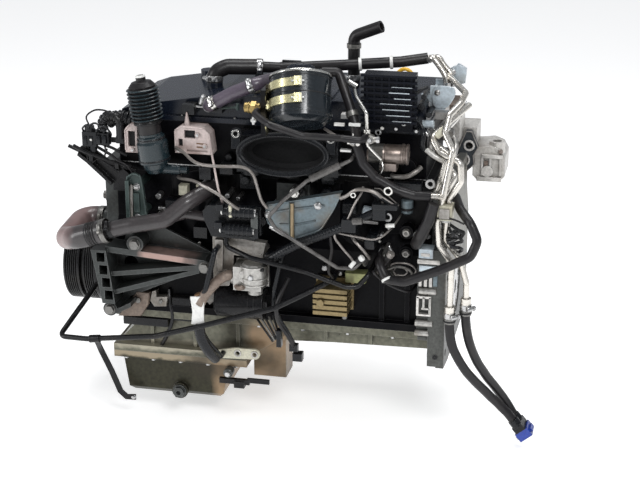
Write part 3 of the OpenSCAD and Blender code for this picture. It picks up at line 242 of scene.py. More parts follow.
WEARS = {
    "block": "cylinder_block", "steel": "crankshaft head_gasket small_bolts turbo_shaft",
    "black_metal": "crank_damper pump_pulley oil_filter_housing loom_bracket return_line lower_pipe "
                   "dipstick_tube",
    "alu_grey": "front_cover drain_plug", "alu": "water_pump water_outlet turbo_housing",
    "flange": "bell_flange", "sump": "upper_sump", "pan": "lower_sump", "head": "cylinder_head",
    "plastic_blue": "cam_cover",
    "plastic": "filler_cap valve_block air_duct front_loom wiring_harness hose_fitting",
    "fins": "oil_separator", "dull_steel": "large_bolts hose_clamps", "bracket": "mount_bracket",
    "alu_pale": "cast_bracket", "heat": "heat_shield", "cooler": "oil_cooler", "cream": "lug_plate",
    "can": "fuel_filter", "gold": "filter_clamps", "brass": "brass_union",
    "rubber": "intake_bellows breather_pipe heater_hose filter_hoses rear_hoses hanging_hose_a hanging_hose_b",
    "teal": "bellows_collar", "pink": "actuator_covers", "shield": "front_shield",
    "rubber_coolant": "coolant_hoses", "rubber_violet": "charge_hose", "pipe": "rear_pipes",
    "pale_blue": "pipe_bracket", "bright": "fuel_line", "grey_rubber": "vacuum_line", "blue": "hose_cap",
    "slate": "port_plate", "alu_white": "rear_housing", "exhaust": "exhaust_manifold", "yellow": "dipstick",
}
for look, names in WEARS.items():
    for name in names.split():
        mesh = nodes[name].data
        mesh.materials.clear()
        mesh.materials.append(M[look])
        mesh.shade_smooth()
        mesh.set_sharp_from_angle(angle=CAD_SHARP_ANGLE)


# ---- Mesh tools ----
def smooth(points, steps=4):
    """A Catmull-Rom line through the points."""
    p = [Vector(q) for q in points]
    p = [p[0] * 2 - p[1]] + p + [p[-1] * 2 - p[-2]]
    out = []
    for i in range(1, len(p) - 2):
        a, b, c, d = p[i - 1:i + 3]
        for k in range(steps):
            t = k / steps
            out.append(0.5 * ((2 * b) + (c - a) * t + (2 * a - 5 * b + 4 * c - d) * t * t
                              + (3 * b - a - 3 * c + d) * t ** 3))
    return out + [p[-2]]


def length(points):
    return sum((Vector(b) - Vector(a)).length for a, b in zip(points, points[1:]))


def around(sides):
    return [j * 2 * pi / sides for j in range(sides)]


def axes(along, start=None):
    """Two directions across an axis, and the axis itself."""
    z = Vector(along).normalized()
    x = Vector(start).normalized() if start else z.orthogonal().normalized()
    if start:
        x = (x - z * x.dot(z)).normalized()
    return x, z.cross(x), z


def circle(at, x, y, r, sides):
    return [at + (x * cos(a) + y * sin(a)) * r for a in around(sides)]


class Piece:
    """Collects faces in millimetres, then becomes one object on the engine's body."""

    def __init__(self, name, look, slot):
        self.name, self.looks, self.slot, self.look = name, [look], slot, 0
        self.verts, self.faces, self.face_looks, self.soft = [], [], [], []

    def use(self, look):
        if look not in self.looks:
            self.looks.append(look)
        self.look = self.looks.index(look)
        return self

    def rings(self, rings, closed=False, soft=True):
        """Joins rings of points to a skin; an open row of rings gets a cap at each end."""
        n, k, o = len(rings), len(rings[0]), len(self.verts)
        faces = []
        for i in range(n if closed else n - 1):
            a, b = o + i * k, o + (i + 1) % n * k
            faces += [[a + j, a + (j + 1) % k, b + (j + 1) % k, b + j] for j in range(k)]
        if not closed:
            faces += [list(range(o, o + k))[::-1], list(range(o + (n - 1) * k, o + n * k))]
        self.verts += [v for r in rings for v in r]
        self.faces += faces
        self.face_looks += [self.look] * len(faces)
        self.soft += [soft] * len(faces)
        return self

    def tube(self, points, r, sides=10, radii=None, steps=4):
        line = smooth(points, steps) if steps else [Vector(q) for q in points]
        rings, side = [], None
        for i, p in enumerate(line):
            t = (line[min(i + 1, len(line) - 1)] - line[max(i - 1, 0)]).normalized()
            if side is None:
                side = t.orthogonal().normalized()
            side = (side - t * side.dot(t)).normalized()
            rings.append(circle(p, side, t.cross(side), radii(i) if radii else r, sides))
        return self.rings(rings)

    def pipe(self, r, *routes, sides=8, steps=4):
        """Pipes or wires of one radius through the points of each route."""
        for route in routes:
            self.tube(route, r, sides, steps=steps)

    def corrugated(self, r, pitch, route):
        """A ribbed conduit: four rings to each rib, two wide and two narrow."""
        line = smooth(route, 8)
        total = length(line)
        n = int(total / (pitch / 4))
        dense, gone, i = [line[0]], 0.0, 0
        for k in range(1, n + 1):
            want = total * k / n
            while i < len(line) - 2 and gone + (line[i + 1] - line[i]).length < want:
                gone += (line[i + 1] - line[i]).length
                i += 1
            s = (line[i + 1] - line[i]).length
            dense.append(line[i].lerp(line[i + 1], min(1.0, (want - gone) / max(s, 1e-6))))
        self.tube(dense, r, 12, steps=0, radii=lambda k: r * (1.0 if k % 4 < 2 else 0.86))

    def lathe(self, at, axis, profile, sides=24, soft=True):
        """profile: (radius, distance along the axis) pairs."""
        x, y, z = axes(axis)
        return self.rings([circle(Vector(at) + z * h, x, y, max(r, 0.001), sides) for r, h in profile],
                          soft=soft)

    def spin(self, at, axis, section, sides=48):
        """A closed section of (radius, height) pairs, turned about an axis."""
        x, y, z = axes(axis)
        rings = []
        for a in around(sides):
            d = x * cos(a) + y * sin(a)
            rings.append([Vector(at) + d * r + z * h for r, h in section])
        return self.rings(rings, closed=True)

    def hoop(self, at, axis, r, w, t=1.2):
        return self.spin(at, axis, [(r, -w / 2), (r + t * 0.7, -w / 2), (r + t, -w / 4), (r + t, w / 4),
                                    (r + t * 0.7, w / 2), (r, w / 2)])

    def ring(self, at, radii, top, sides=28, base=0):
        """A raised ring that faces the camera's side; radii: bore, rim, rim at the top, bore at the top."""
        return self.spin(at, (0, -1, 0), list(zip(radii, (base, base, top, top))), sides)

    def bar(self, a, b, r, sides=20, look=None):
        """A round bar with chamfered ends."""
        if look:
            self.use(look)
        along = Vector(b) - Vector(a)
        h = along.length
        e = min(r * 0.2, h * 0.2)
        return self.lathe(a, along, [(r - e, 0), (r, e), (r, h - e), (r - e, h)], sides)

    def bars(self, *rows):
        for x0, y0, z0, x1, y1, z1, *rest in rows:
            self.bar((x0, y0, z0), (x1, y1, z1), *rest)

    def pins(self, *rows):
        """Bars along y."""
        for x, z, y0, y1, *rest in rows:
            self.bar((x, y0, z), (x, y1, z), *rest)

    def bolt(self, at, axis, d):
        self.use("steel").lathe(at, axis, [(d * 1.1, 0), (d * 1.1, d * 0.15), (d * 1.0, d * 0.22)], 20)
        return self.lathe(Vector(at) + Vector(axis).normalized() * d * 0.2, axis,
                          [(d * 0.85, 0), (d * 0.85, d * 0.55), (d * 0.75, d * 0.62)], 6, soft=False)

    def clamp(self, at, axis, r, start=None, look="steel"):
        """A worm-drive hose clip with its screw housing."""
        x, y, z = axes(axis, start)
        self.use(look).hoop(at, axis, r, 9, 0.9)
        c = Vector(at) + x * (r + 3.4)
        self.lathe(c - y * 7, y, [(3.2, 0), (3.6, 1), (3.6, 11), (3.0, 12)], 12)
        self.lathe(c + y * 5.2, y, [(4.4, 0), (4.4, 3.5), (3.6, 4.2)], 6, soft=False)

    def prism(self, outline, y0, y1, bevel=0.0):
        """An outline in x and z, pushed along y, its two ends drawn in by the bevel."""
        layers = [(outline, y0), (outline, y1)]
        if bevel:
            cx, cz = (sum(p[k] for p in outline) / len(outline) for k in (0, 1))
            small = [(x + (cx - x) * bevel, z + (cz - z) * bevel) for x, z in outline]
            d = (y1 - y0) * 0.08
            layers = [(small, y0), (outline, y0 + d), (outline, y1 - d), (small, y1)]
        return self.rings([[Vector((x, y, z)) for x, z in o] for o, y in layers], soft=False)

    def slab(self, lo, hi, look=None):
        if look:
            self.use(look)
        (x0, y0, z0), (x1, y1, z1) = lo, hi
        return self.prism([(x0, z0), (x1, z0), (x1, z1), (x0, z1)], y0, y1, 0.06)

    def slabs(self, *rows):
        for x0, y0, z0, x1, y1, z1, *look in rows:
            self.slab((x0, y0, z0), (x1, y1, z1), *look)

    def make(self):
        me = bpy.data.meshes.new(self.name)
        me.from_pydata([[c / 1000 for c in v] for v in self.verts], [], self.faces)
        me.update()
        for look in self.looks:
            me.materials.append(M[look])
        me.polygons.foreach_set("material_index", self.face_looks)
        me.polygons.foreach_set("use_smooth", self.soft)
        me.set_sharp_from_angle(angle=PIECE_SHARP_ANGLE)
        o = bpy.data.objects.new(self.name, me)
        scene.collection.objects.link(o)
        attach(o, "engine")
        return o


# ---- Hanging hoses ----
HOSE_A = [(10, -168, 20), (10, -168, 5), (11, -168, -10), (13, -167, -26), (17, -165, -42), (23, -161, -57),
          (30, -156, -72), (38, -150, -87), (47, -143, -101), (56, -136, -114), (66, -129, -127),
          (76, -123, -140), (86, -119, -151), (95, -117, -161), (104, -116, -170), (112, -116, -180)]
HOSE_B = [(34, -160, 33), (34, -160, 18), (35, -159, 3), (37, -157, -13), (40, -154, -29), (44, -149, -45),
          (49, -143, -61), (55, -136, -77), (62, -128, -92), (69, -120, -107), (77, -112, -121),
          (85, -105, -135), (94, -99, -150), (103, -96, -165), (112, -96, -180)]
for name, route, ends in (("hose_a", HOSE_A, ["hose_fitting", "hose_cap"]),
                          ("hose_b", HOSE_B, ["hose_fitting"])):
    line = smooth(route)
    hose = Piece(name, "rubber", "hose_rubber").tube(line, 7.5, 20, steps=0).make()
    line = [q / 1000 for q in line]
    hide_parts("hanging_" + name)


# ---- Small parts ----
def leaning(foot, x=0, y=0, z=0):
    """An own frame: turned about x, then y, then z, and set on its foot."""
    return (Matrix.Translation(foot) @ Matrix.Rotation(radians(z), 4, "Z")
            @ Matrix.Rotation(radians(y), 4, "Y") @ Matrix.Rotation(radians(x), 4, "X"))


# The canister: polished rim, seam, buckles on the two bands and moulded cap
CAN_R = 47
can = leaning((-226, -184, 326), x=-30, z=12)
foot, can_axis = can @ Vector((0, 0, 0)), can.to_3x3() @ Vector((0, 0, 1))
p = Piece("canister_trim", "bright", "steel")
p.spin(foot, can_axis, [(CAN_R + 0.2, 65), (CAN_R + 2.3, 65.6), (CAN_R + 2.6, 67.2), (CAN_R + 1.6, 69),
                        (CAN_R - 3, 70.6), (CAN_R - 3, 68)], 96)
p.use("black_metal")
p.hoop(can @ Vector((0, 0, 34.5)), can_axis, CAN_R, 1.6, 0.8)
p.hoop(can @ Vector((0, 0, 61)), can_axis, CAN_R, 1.2, 0.5)
p.use("plastic_blue")
p.spin(foot, can_axis, [(0.5, 84), (0.5, 86), (17, 86), (20.5, 84.5), (22.2, 82), (22.4, 72.4), (20, 72.4)], 64)
for a in around(18):
    grip = Vector((cos(a), sin(a), 0))
    p.bar(can @ (grip * 22.2 + Vector((0, 0, 73))), can @ (grip * 21.9 + Vector((0, 0, 82.5))), 1.1, 8)
p.use("bright")
p.spin(foot, can_axis, [(0.4, 86), (6, 86), (5, 88), (0.4, 88)], 24)
p.make()

p = Piece("band_buckles", "gold", "gold_band")
for z in (17, 43):
    for x, w, look in ((-10, 7, "gold"), (-2.6, 5, "cream")):
        plate = [(x, z - 1.6), (x + w, z - 1.6), (x + w, z + 12.6), (x, z + 12.6)]
        p.use(look)
        p.rings([[can @ Vector((u, -CAN_R - 3 - d, v)) for u, v in plate] for d in (0, 3.2)], soft=False)
    p.bar(*(can @ Vector((u, -CAN_R - 3.5, z + 5.5)) for u in (-14, 6)), 1.6, 10, "steel")
p.make()

# Union, its clip and the white ends beside it
p = Piece("union_details", "brass", "cooler_brass")
for x in (-303, -312, -299.5):
    p.bar((x, -170, 338), (x + 2.2, -170, 338), 9.2, 28)
p.bar((-318.5, -170, 338), (-315, -170, 338), 6)
p.pins((-294, 338, -181, -185, 6.5, 6))
p.bars((-288, -177, 335, -281, -177, 335, 5, 16, "white"), (-288, -178, 328, -279, -178, 328, 4, 16, "white"),
       (-304, -187, 322, -296, -187, 322, 2.6, 12, "white"),
       (-300, -187, 328, -300, -187, 316, 2.2, 12, "white"),
       (-324, -70, 336, -324, -70, 352, 6.5, 6, "cream"), (-308, -72, 336, -308, -72, 350, 7.5, 6, "cream"),
       (-300, -64, 336, -300, -64, 354, 5, 6, "brass"))
p.make()

# The duct: rolled rim, inner ledge, ring eyes, and inside a near-black lining and back that are painted shade
DUCT_A, DUCT_B = 66, 27
duct = leaning((-259, -168, 265), x=-100)
p = Piece("duct_rim", "plastic", "black_plastic")


def oval(a, b, z, t):
    return duct @ Vector((a * cos(t), b * sin(t), z))


for look, section in (("plastic", [(7.9, 1), (8.6, -0.6), (8.2, -2.2), (6.8, -2.6), (5.5, -1.8), (5.5, 0)]),
                      ("plastic", [(-0.2, 1.5), (0.6, -1.6), (1.6, -2.2), (2.6, -1.2), (2.6, 0.5)]),
                      ("hollow_shade", [(0.4, 3), (-1.2, 4), (-1.4, 44), (0.4, 44)]),
                      ("hollow_shade", [(0.3, 30), (-9, 31), (-9, 33), (0.3, 34)])):
    p.use(look).rings([[oval(DUCT_A + d, DUCT_B + d, z, t) for d, z in section] for t in around(96)],
                      closed=True)
p.rings([[oval(DUCT_A + 0.4, DUCT_B + 0.4, z, t) for t in around(48)] for z in (43, 45)])
p.use("bright")
for x in (-76, 76):
    p.spin(duct @ Vector((x, -28, -1.2)), duct.to_3x3() @ Vector((0, 0, -1)),
           [(3.6, 0), (6.9, 0), (6.4, 1.6), (4.2, 1.6)], 32)
p.use("plastic")
for x in (-52, -18, 18, 52):
    y = 1 + 32 * sqrt(1 - (x / 76) ** 2)
    p.rings([[duct @ Vector(q) for q in ((x - 1.5, y + k, 9), (x + 1.5, y + k, 9), (x + 1.5, y, 36),
                                         (x - 1.5, y, 36))] for k in (0, 3.4)], soft=False)
p.make()

# Bellows: ribs, end clips and pale nozzle
bellows = leaning((-476, -134, 212), y=-8)
upward = bellows.to_3x3() @ Vector((0, 0, 1))
p = Piece("bellows_trim", "teal", "hose_rubber")
for i in range(9):
    p.spin(bellows @ Vector((0, 0, 90.5 + 6 * i)), upward,
           [(24, -1.6), (26.0, -0.9), (26.6, 0), (26.0, 0.9), (24, 1.6)], 48)
for z, r, w, look in ((84, 22, 4, "black_metal"), (22, 25, 2.4, "plastic"), (57, 22, 2.4, "plastic")):
    p.use(look).hoop(bellows @ Vector((0, 0, z)), upward, r, w)
p.use("white").spin(bellows @ Vector((0, 0, 158)), upward, [(5.4, -1), (8.2, -0.5), (7.6, 2.4), (5.6, 2.6)], 32)
p.make()

# Drive covers: windows backed by near-black sheets as painted shade, screws, rims
p = Piece("cover_details", "hollow_shade", "black_plastic")
p.slabs((-524.5, -123.5, 250.5, -513.5, -122.2, 275.5), (-429.5, -123.5, 270.5, -412.5, -122.2, 282.5),
        (-439.5, -123.5, 256.5, -433.5, -122.2, 267.5))
p.use("pink")
for x0, z0, x1, z1 in ((-529.4, 244, -529.4, 277), (-529.4, 277.5, -522, 286), (-445.4, 248, -445.4, 281),
                       (-445.4, 281.5, -436, 288), (-388.6, 277, -384.8, 248), (-436, 288, -399, 287.2)):
    p.bar((x0, -128.2, z0), (x1, -128.2, z1), 1.3, 10)
for x, z in ((-408, 276), (-396, 258), (-440, 248.5), (-518, 244.5)):
    p.pins((x, z, -127.5, -130.6, 4.2, 20, "pink"))
    p.pins((x, z, -130.0, -131.4, 2.6, 6, "steel"))
for z in (262, 268):
    p.bar((-410, -128, z - 6), (-393, -128, z - 7), 1.1, 8, "brown")
p.make()

# Pointed shield: pressed rim and fixings
p = Piece("shield_rim", "shield", "bracket_grey")
p.pipe(1.8, [(-523, -147, 122), (-523, -147, 196), (-520, -147, 205), (-512, -147, 210), (-504, -147, 207),
             (-499, -147, 198), (-491.5, -147, 122)])
for z in (136, 188):
    p.bolt((-508, -146, z), (0, -1, 0), 5.5)
p.slab((-513, -149.5, 146), (-503, -145.5, 178), "shield")
p.make()

# Heat shield: folded edge, stiffening beads, washers
p = Piece("heat_shield_edge", "heat", "slate_plate")
p.pipe(1.4, [(-286, -170.5, 178), (-282.5, -170.5, 151), (-262, -170.5, 138), (-245, -170.5, 127.5),
             (-220, -170.5, 136), (-198, -170.5, 146.5), (-186, -170.5, 165), (-176.5, -170.5, 182),
             (-166.5, -170.5, 205)])
p.pipe(2.2, [(-272, -170.2, 170), (-236, -170.2, 178), (-192, -170.2, 186)])
p.pipe(1.8, [(-264, -170.2, 150), (-236, -170.2, 152), (-206, -170.2, 160)])
p.bolt((-283, -171, 165), (0, -1, 0), 5.5)
p.bolt((-202, -171, 185), (0, -1, 0), 5.5)
p.use("tan")
p.pipe(3, [(-243, -173.0, 187), (-243, -173.4, 160), (-243, -173.0, 128)])
p.use("shield")
p.pipe(1.2, [(-247.5, -171.2, 187), (-247.5, -171.4, 160), (-247.5, -171.2, 129)])
p.make()

# Solenoid valves: coil ribs, pale ends, connectors
p = Piece("valve_ends", "plastic", "black_plastic")
for z in (140, 170):
    x0 = -348 + (z - 140) / 10
    for k in range(5):
        p.spin((x0 + 6 + k * 7.5, -183, z), (1, 0, 0),
             [(9.3, -1.2), (10.4, -0.9), (10.4, 0.9), (9.3, 1.2)], 32)
    p.use("white")
    p.bar((x0 - 10.5, -183, z), (x0 - 7.6, -183, z), 6.2, 24)
    p.bar((x0 + 43.6, -183, z), (x0 + 46.5, -183, z), 7.6, 24, "steel")
    p.use("plastic")
    p.slab((x0 - 18, -190, z + 2), (x0 - 6, -178, z + 12))
p.slab((-306.5, -188.5, 146), (-295.5, -185.5, 168), "alu_grey")
p.make()

# Clips on the hoses
p = Piece("hose_clips", "steel", "steel")
p.clamp((-600, -60, 100), (1, 0, 0), 19.2, (0, -1, 0.3), "dull_steel")
p.clamp((-548, -192, 125.4), (52, -2, 16), 19.1, (0, -1, 0.6), "dull_steel")
p.clamp((-538, -192.6, 128.4), (52, -2, 16), 13.2, (0, -1, 1), "black_metal")
for k in range(4):
    p.hoop((-562 - 4.5 * k, -191.5, 121 - 1.4 * k), (52, -2, 16), 19.1, 1.6, 0.7)
p.clamp((-392, -114, 188), (0, 1, 0), 13.2, (-0.4, 0, 1))
p.clamp((-478, -104, 128), (0, 1, 0), 8.2, (0, 0, 1))
p.clamp((-367, -153, 124), (0, 0, 1), 8.2, (-1, -1, 0))
p.clamp((-392, -108, 322), (0, 1, 0), 11.2, (-1, 0, 0.5))
p.clamp((-382, -119.6, 328), (42, 0, 24), 11.2, (0, -1, 0.6), "bright")
p.clamp((-322, -115.5, 358), (38, 6, 16), 11.2, (0, -1, 0.6))
p.clamp((-405, -30, 347), (0, 0, 1), 13.2, (-1, -1, 0))
p.clamp((-336, -6, 362), (56, 18, -2), 13.2, (0, -1, 0.4))
p.clamp((-185, 34, 344), (0, 0, 1), 10.2, (-1, -1, 0))
p.clamp((-104, -122, 98), (0, 1, 0), 7.7, (1, 0, 0.5))
p.clamp((-48, -118, 128), (0, 1, 0), 9.2, (1, 0, 0.5))
p.make()

p = Piece("pipe_ties", "white", "pale_plastic")
p.hoop((-88, -184, 76), (-14, 12, 22), 8, 4, 1.6)
p.hoop((-170, 9.6, 371.4), (90, 16, 6), 9.2, 5, 1.8)
p.hoop((-120, 17.5, 375), (90, 16, 6), 9.2, 5, 1.8)
p.slabs((-177, -171, 316.5, -161, -164, 320.5), (-154, -171, 317.5, -136, -164, 321.5),
        (-167, -172, 276, -150, -164, 279.5))
p.hoop((-8, -168, 190), (0, 0, 1), 5.4, 12, 3)
p.hoop((-2, -160, 176), (0, 0, 1), 5.4, 12, 3)
p.make()

# Thin lines across the middle
p = Piece("thin_lines", "line_grey", "hose_rubber")
p.pipe(2.6, [(-445, -124, 255), (-444, -130, 253), (-429, -142, 251), (-407, -165, 245), (-386, -182, 244),
             (-353, -187, 245), (-319, -187, 246), (-303, -186, 236), (-297, -182, 214), (-292, -176, 190),
             (-284, -172, 176)],
       [(-446, -104, 201), (-442, -125, 201), (-406, -165, 211), (-380, -184, 208), (-357, -190, 199),
        (-340, -193, 188), (-327, -190, 178), (-322, -182, 172)])
p.use("pink")
p.pipe(1.8, [(-383, -126, 250), (-383, -135, 250), (-368, -172, 234), (-359, -186, 207), (-356, -180, 189),
             (-356, -170, 172)])
p.use("line_grey")
p.pipe(3.0, [(-166, -171, 200), (-156, -176, 206), (-140, -182, 219), (-123, -184, 221), (-107, -182, 216),
             (-98, -178, 204), (-98, -176, 190)])
p.pipe(1.8, [(-130, -172, 222), (-132, -178, 213), (-142, -182, 195), (-152, -184, 170)])
p.pipe(1.7, [(-176, -184, 150), (-166, -186, 148), (-136, -184, 143), (-107, -180, 140), (-87, -160, 152),
             (-80, -110, 158)])
p.pipe(2.0, [(-172, -188, 146), (-170, -188, 138), (-157, -186, 120), (-146, -180, 104), (-142, -178, 92)])
p.use("rubber")
p.pipe(2.6, [(-180, -184, 146), (-179, -182, 133), (-178, -180, 113), (-184, -176, 80), (-180, -160, 62)])
p.pipe(2.2,
       [(-112, -176, 84), (-108, -170, 76), (-92, -170, 64), (-71, -165, 53), (-57, -150, 45), (-50, -112, 45)])
p.pipe(1.5, [(-22, -170, 184), (-15, -176, 180), (10, -178, 181), (30, -186, 177)])
p.use("dull_steel")
p.pipe(3.6, [(-99, -112, 108), (-99, -150, 104), (-96, -160, 97), (-103, -164, 85), (-108, -166, 78)], sides=10)
p.pipe(2.1, [(-96, -112, 79), (-94, -150, 80), (-79, -160, 89), (-61, -160, 87), (-54, -150, 74),
             (-65, -150, 65), (-82, -148, 66), (-96, -112, 72)])
p.bar((-146, -194, 95), (-139, -190, 104), 3.4, 10, "white")
p.pins((-202, 61, -110, -121, 5, 16, "steel"), (-176, 55, -112, -124, 4, 16, "steel"))
p.bar((-168, -121, -8), (-168, -121, -24), 5, 16, "dull_steel")
p.slab((-166, -132, 44), (-132, -109, 61), "olive")
p.make()

# Connectors, clips and small brackets on the block and head
p = Piece("side_fittings", "plastic", "black_plastic")
p.slab((-113, -190, 192), (-74, -172, 200))
p.bars((-114, -178, 216, -76, -178, 193, 4.2, 12), (-114, -180, 219, -76, -180, 196, 1.6, 8, "line_grey"))
p.use("plastic")
p.slabs((-404, -140, 205, -384, -110, 226), (-372, -132, 214, -350, -100, 230),
        (-340, -126, 190, -316, -100, 214), (-206, -124, 206, -186, -100, 222),
        (-92, -124, 200, -46, -106, 216))
p.pins((-330, 206, -112, -134, 8), (-198, 190, -112, -130, 9))
p.slabs((-172, -126, 160, -150, -92, 176), (-128, -170, 118, -112, -92, 132), (-470, -116, 138, -446, -92, 158),
        (-420, -128, 100, -396, -92, 120))
for x, z in ((-362, 236), (-178, 236), (-330, 232), (-92, 236)):
    p.pins((x, z, -100, -112, 6, 16))
p.slab((-283, -112, 166), (-228, -92, 200), "alu_grey")
p.pins((-246, 184, -110, -124, 13, 28, "alu_grey"))
p.use("steel")
p.ring((-246, -124, 184), (5, 9.5, 9.0, 5.5), 1.8, 32, -1)
for z in (192, 147):
    p.ring((-104, -92.5, z), (3.5, 8, 7.4, 4), 2)
p.ring((-34, -108.5, 213), (3.5, 8.5, 8.0, 4), 2)
p.pins((-100, 131, -92, -100, 3.5, 12, "white"))
p.slab((-446, -118, 169), (-431, -92, 186), "cream")
p.pins((-415, 184, -92, -110, 4, 12, "cream"), (-483, 162, -92, -112, 5, 16, "steel"),
       (-358, 180, -96, -140, 4.4, 12, "steel"), (-340, 177, -96, -140, 3.2, 12, "steel"))
p.bars((-339, -190, 163, -339, -190, 183, 3.0, 10, "cream"),
       (-280, -172.5, 146, -254, -172.5, 132, 3.2, 10, "steel"))
p.use("alu_pale")
p.pipe(4.2, [(-96, -104, 222), (-88, -112, 222), (-70, -115, 225), (-58, -112, 232), (-50, -104, 238)],
       sides=10)
p.bars((-142, -108, 161, -120, -108, 158, 9, 24, "pale_blue"),
       (-124, -108, 158, -116, -108, 157, 6, 20, "steel"), (-71, -104, 160, -71, -104, 184, 10, 24, "heat"),
       (-71, -104, 166, -71, -104, 170, 11, 24, "black_metal"),
       (-50, -104, 309, -31, -104, 310, 6, 20, "pale_blue"))
p.use("steel")
for x, z, r in ((-73, 338, 3.5), (-62, 349, 3), (-78, 309, 4), (-58, 298, 3), (-66, 326, 2.6), (-90, 300, 3)):
    p.pins((x, z, -94, -112, r, 12, "steel"))
for x, z, r in ((-70, 365, 5), (-48, 352, 4), (-52, 336, 6), (-40, 324, 5), (-64, 314, 6)):
    p.pins((x, z, -60, -106, r, 16, "brown" if r == 5 and z > 360 else "plastic"))
p.use("plastic")
p.pipe(4, [(-70, -94, 330), (-66, -112, 322), (-52, -118, 312), (-44, -130, 300), (-45, -130, 279),
           (-40, -112, 262)], sides=10)
p.pipe(3, [(-92, -100, 320), (-84, -112, 330), (-70, -114, 344), (-58, -110, 360), (-44, -96, 366)])
p.bars((-424, -108, 317, -388, -112, 319, 1.8, 10, "steel"),
       (-372, -112, 318, -344, -110, 321, 2.2, 10, "shield"),
       (-346, -110, 316, -346, -110, 327, 3, 10, "shield"))
p.slabs((-392, -114, 310, -370, -94, 326, "plastic"), (-436, -116, 305, -416, -94, 322, "plastic"),
        (-178, -112, 312, -166, -94, 319, "white"))
for x, y, z in ((-145, -184, 299), (-118, -112, 293), (-138, -180, 292), (-112, -112, 300)):
    p.pins((x, z, y + 10, y, 3.6, 12, "bright"))
p.pins((-118, 293, -100, -112, 5.5, 16, "steel"))
p.make()

p = Piece("lower_harness", "rubber", "hose_rubber")
p.pipe(3.4, [(-250, -170, 60), (-264, -190, 24), (-266, -184, -8), (-252, -172, -40), (-244, -160, -66)])
p.use("plastic")
p.slabs((-248, -158, -92, -232, -142, -78), (-252, -164, -72, -238, -152, -60))
p.make()

p = Piece("parallel_rods", "steel", "steel")
for k in range(5):
    p.use("dull_steel" if k % 2 else "black_metal")
    p.bar((-309 + 7 * k, -150 - k, -24 + 2.5 * k), (-279 + 3 * k, -162 - k, -58 + 3 * k), 1.9, 10)
p.slab((-272, -170, -64), (-264, -156, -34), "plastic")
p.make()

# Drum of the water outlet, with its clamp rings
p = Piece("outlet_drum", "alu", "cast_aluminium")
p.bar((-306, -176, 46), (-306, -176, 84), 21, 48)
for z in (50, 60, 80):
    p.spin((-306, -176, z), (0, 0, 1), [(20.6, -1.6), (22.6, -1.2), (22.6, 1.2), (20.6, 1.6)], 56)
p.pins((-306, 66, -196, -201, 5, 6, "steel"))
p.bar((-292, -190, 78), (-286, -190, 78), 3.4, 12, "black_metal")
p.use("rust_grey")
p.pipe(4, [(-340, -168, 46), (-330, -190, 44), (-318, -196, 48)])
p.make()

# Casting and lifting tab behind the mount
p = Piece("front_castings", "rust_grey", "cast_aluminium")
for look, y0, y1, outline in (
        ("rust_grey", -132, -108, [(-551, -43), (-556, -49), (-515, -46), (-501, -24), (-498, -2), (-520, -1),
                                   (-534, -19)]),
        ("alu_pale", -128, -112, [(-499, -18), (-495, 0), (-488, 2), (-488, -10), (-468, -8), (-471, -26),
                                  (-492, -28)])):
    p.use(look).prism(outline, y0, y1, 0.05)
p.pins((-518, -16, -132, -136, 5, 20, "dull_steel"), (-480, -17, -128, -131, 3.5, 16, "dull_steel"))
p.slabs((-548, -128, -64, -470, -108, -50, "black_metal"), (-462, -124, -52, -430, -108, -10, "black_metal"))
p.use("black_metal")
p.pipe(3.2, [(-470, -114, 0), (-466, -122, -20), (-462, -124, -50), (-478, -122, -90), (-492, -116, -112)])
p.make()

# Tape flag on the loom and the sleeve under it
p = Piece("loom_flag", "white", "pale_plastic")
pts = [(-405, 28), (-381, 30), (-383, -2), (-382, -20), (-404, -19), (-402, 2)]
p.rings([[(x, -205 + d + 1.5 * sin(z / 9), z) for x, z in pts] for d in (0, 2.2)], soft=False)
p.use("brown")
p.hoop((-394, -198, 30), (-0.4, 0, 1), 4.6, 4, 1)
p.make()
p = Piece("loom_sleeve", "rust_grey", "black_plastic")
p.pipe(8.5, [(-340, -166, 58), (-346, -178, 60), (-358, -184, 56), (-373, -192, 42), (-384, -198, 27),
             (-391, -199, 14)], sides=14)
p.use("plastic")
p.pipe(9, [(-393, -198, -18), (-393, -198, -30), (-391, -194, -49), (-384, -182, -74), (-377, -162, -97)],
       sides=14)
p.make()
p = Piece("loom_ribs", "plastic", "black_plastic")
p.corrugated(7.5, 5, [(-284, -166, 91.2), (-276, -178, 93), (-252, -184, 112), (-224, -186, 128),
                      (-180, -186, 148), (-148, -182.4, 163)])
p.make()

# Front strap and wires
p = Piece("front_strap", "black_metal", "black_paint")
STRAP = [(-606, -112, -100), (-590, -130, -114), (-570, -136, -150), (-556, -136, -186), (-546, -134, -197),
         (-530, -132, -197)]
STRAP_HALF_WIDTH, STRAP_HALF_THICKNESS = 5, Vector((0, 1.4, 0))
rings = []
for i, q in enumerate(STRAP):
    along = Vector(STRAP[min(i + 1, len(STRAP) - 1)]) - Vector(STRAP[max(i - 1, 0)])
    w = along.normalized().cross(Vector((0, 1, 0))).normalized() * STRAP_HALF_WIDTH
    t = STRAP_HALF_THICKNESS
    rings.append([Vector(q) + d for d in (-w - t, w - t, w + t, t - w)])
p.rings(rings, soft=False)
p.bolt((-604, -114, -100), (-0.2, -1, 0.1), 4)
p.bolt((-534, -133, -197), (0, -1, 0), 4)
p.make()

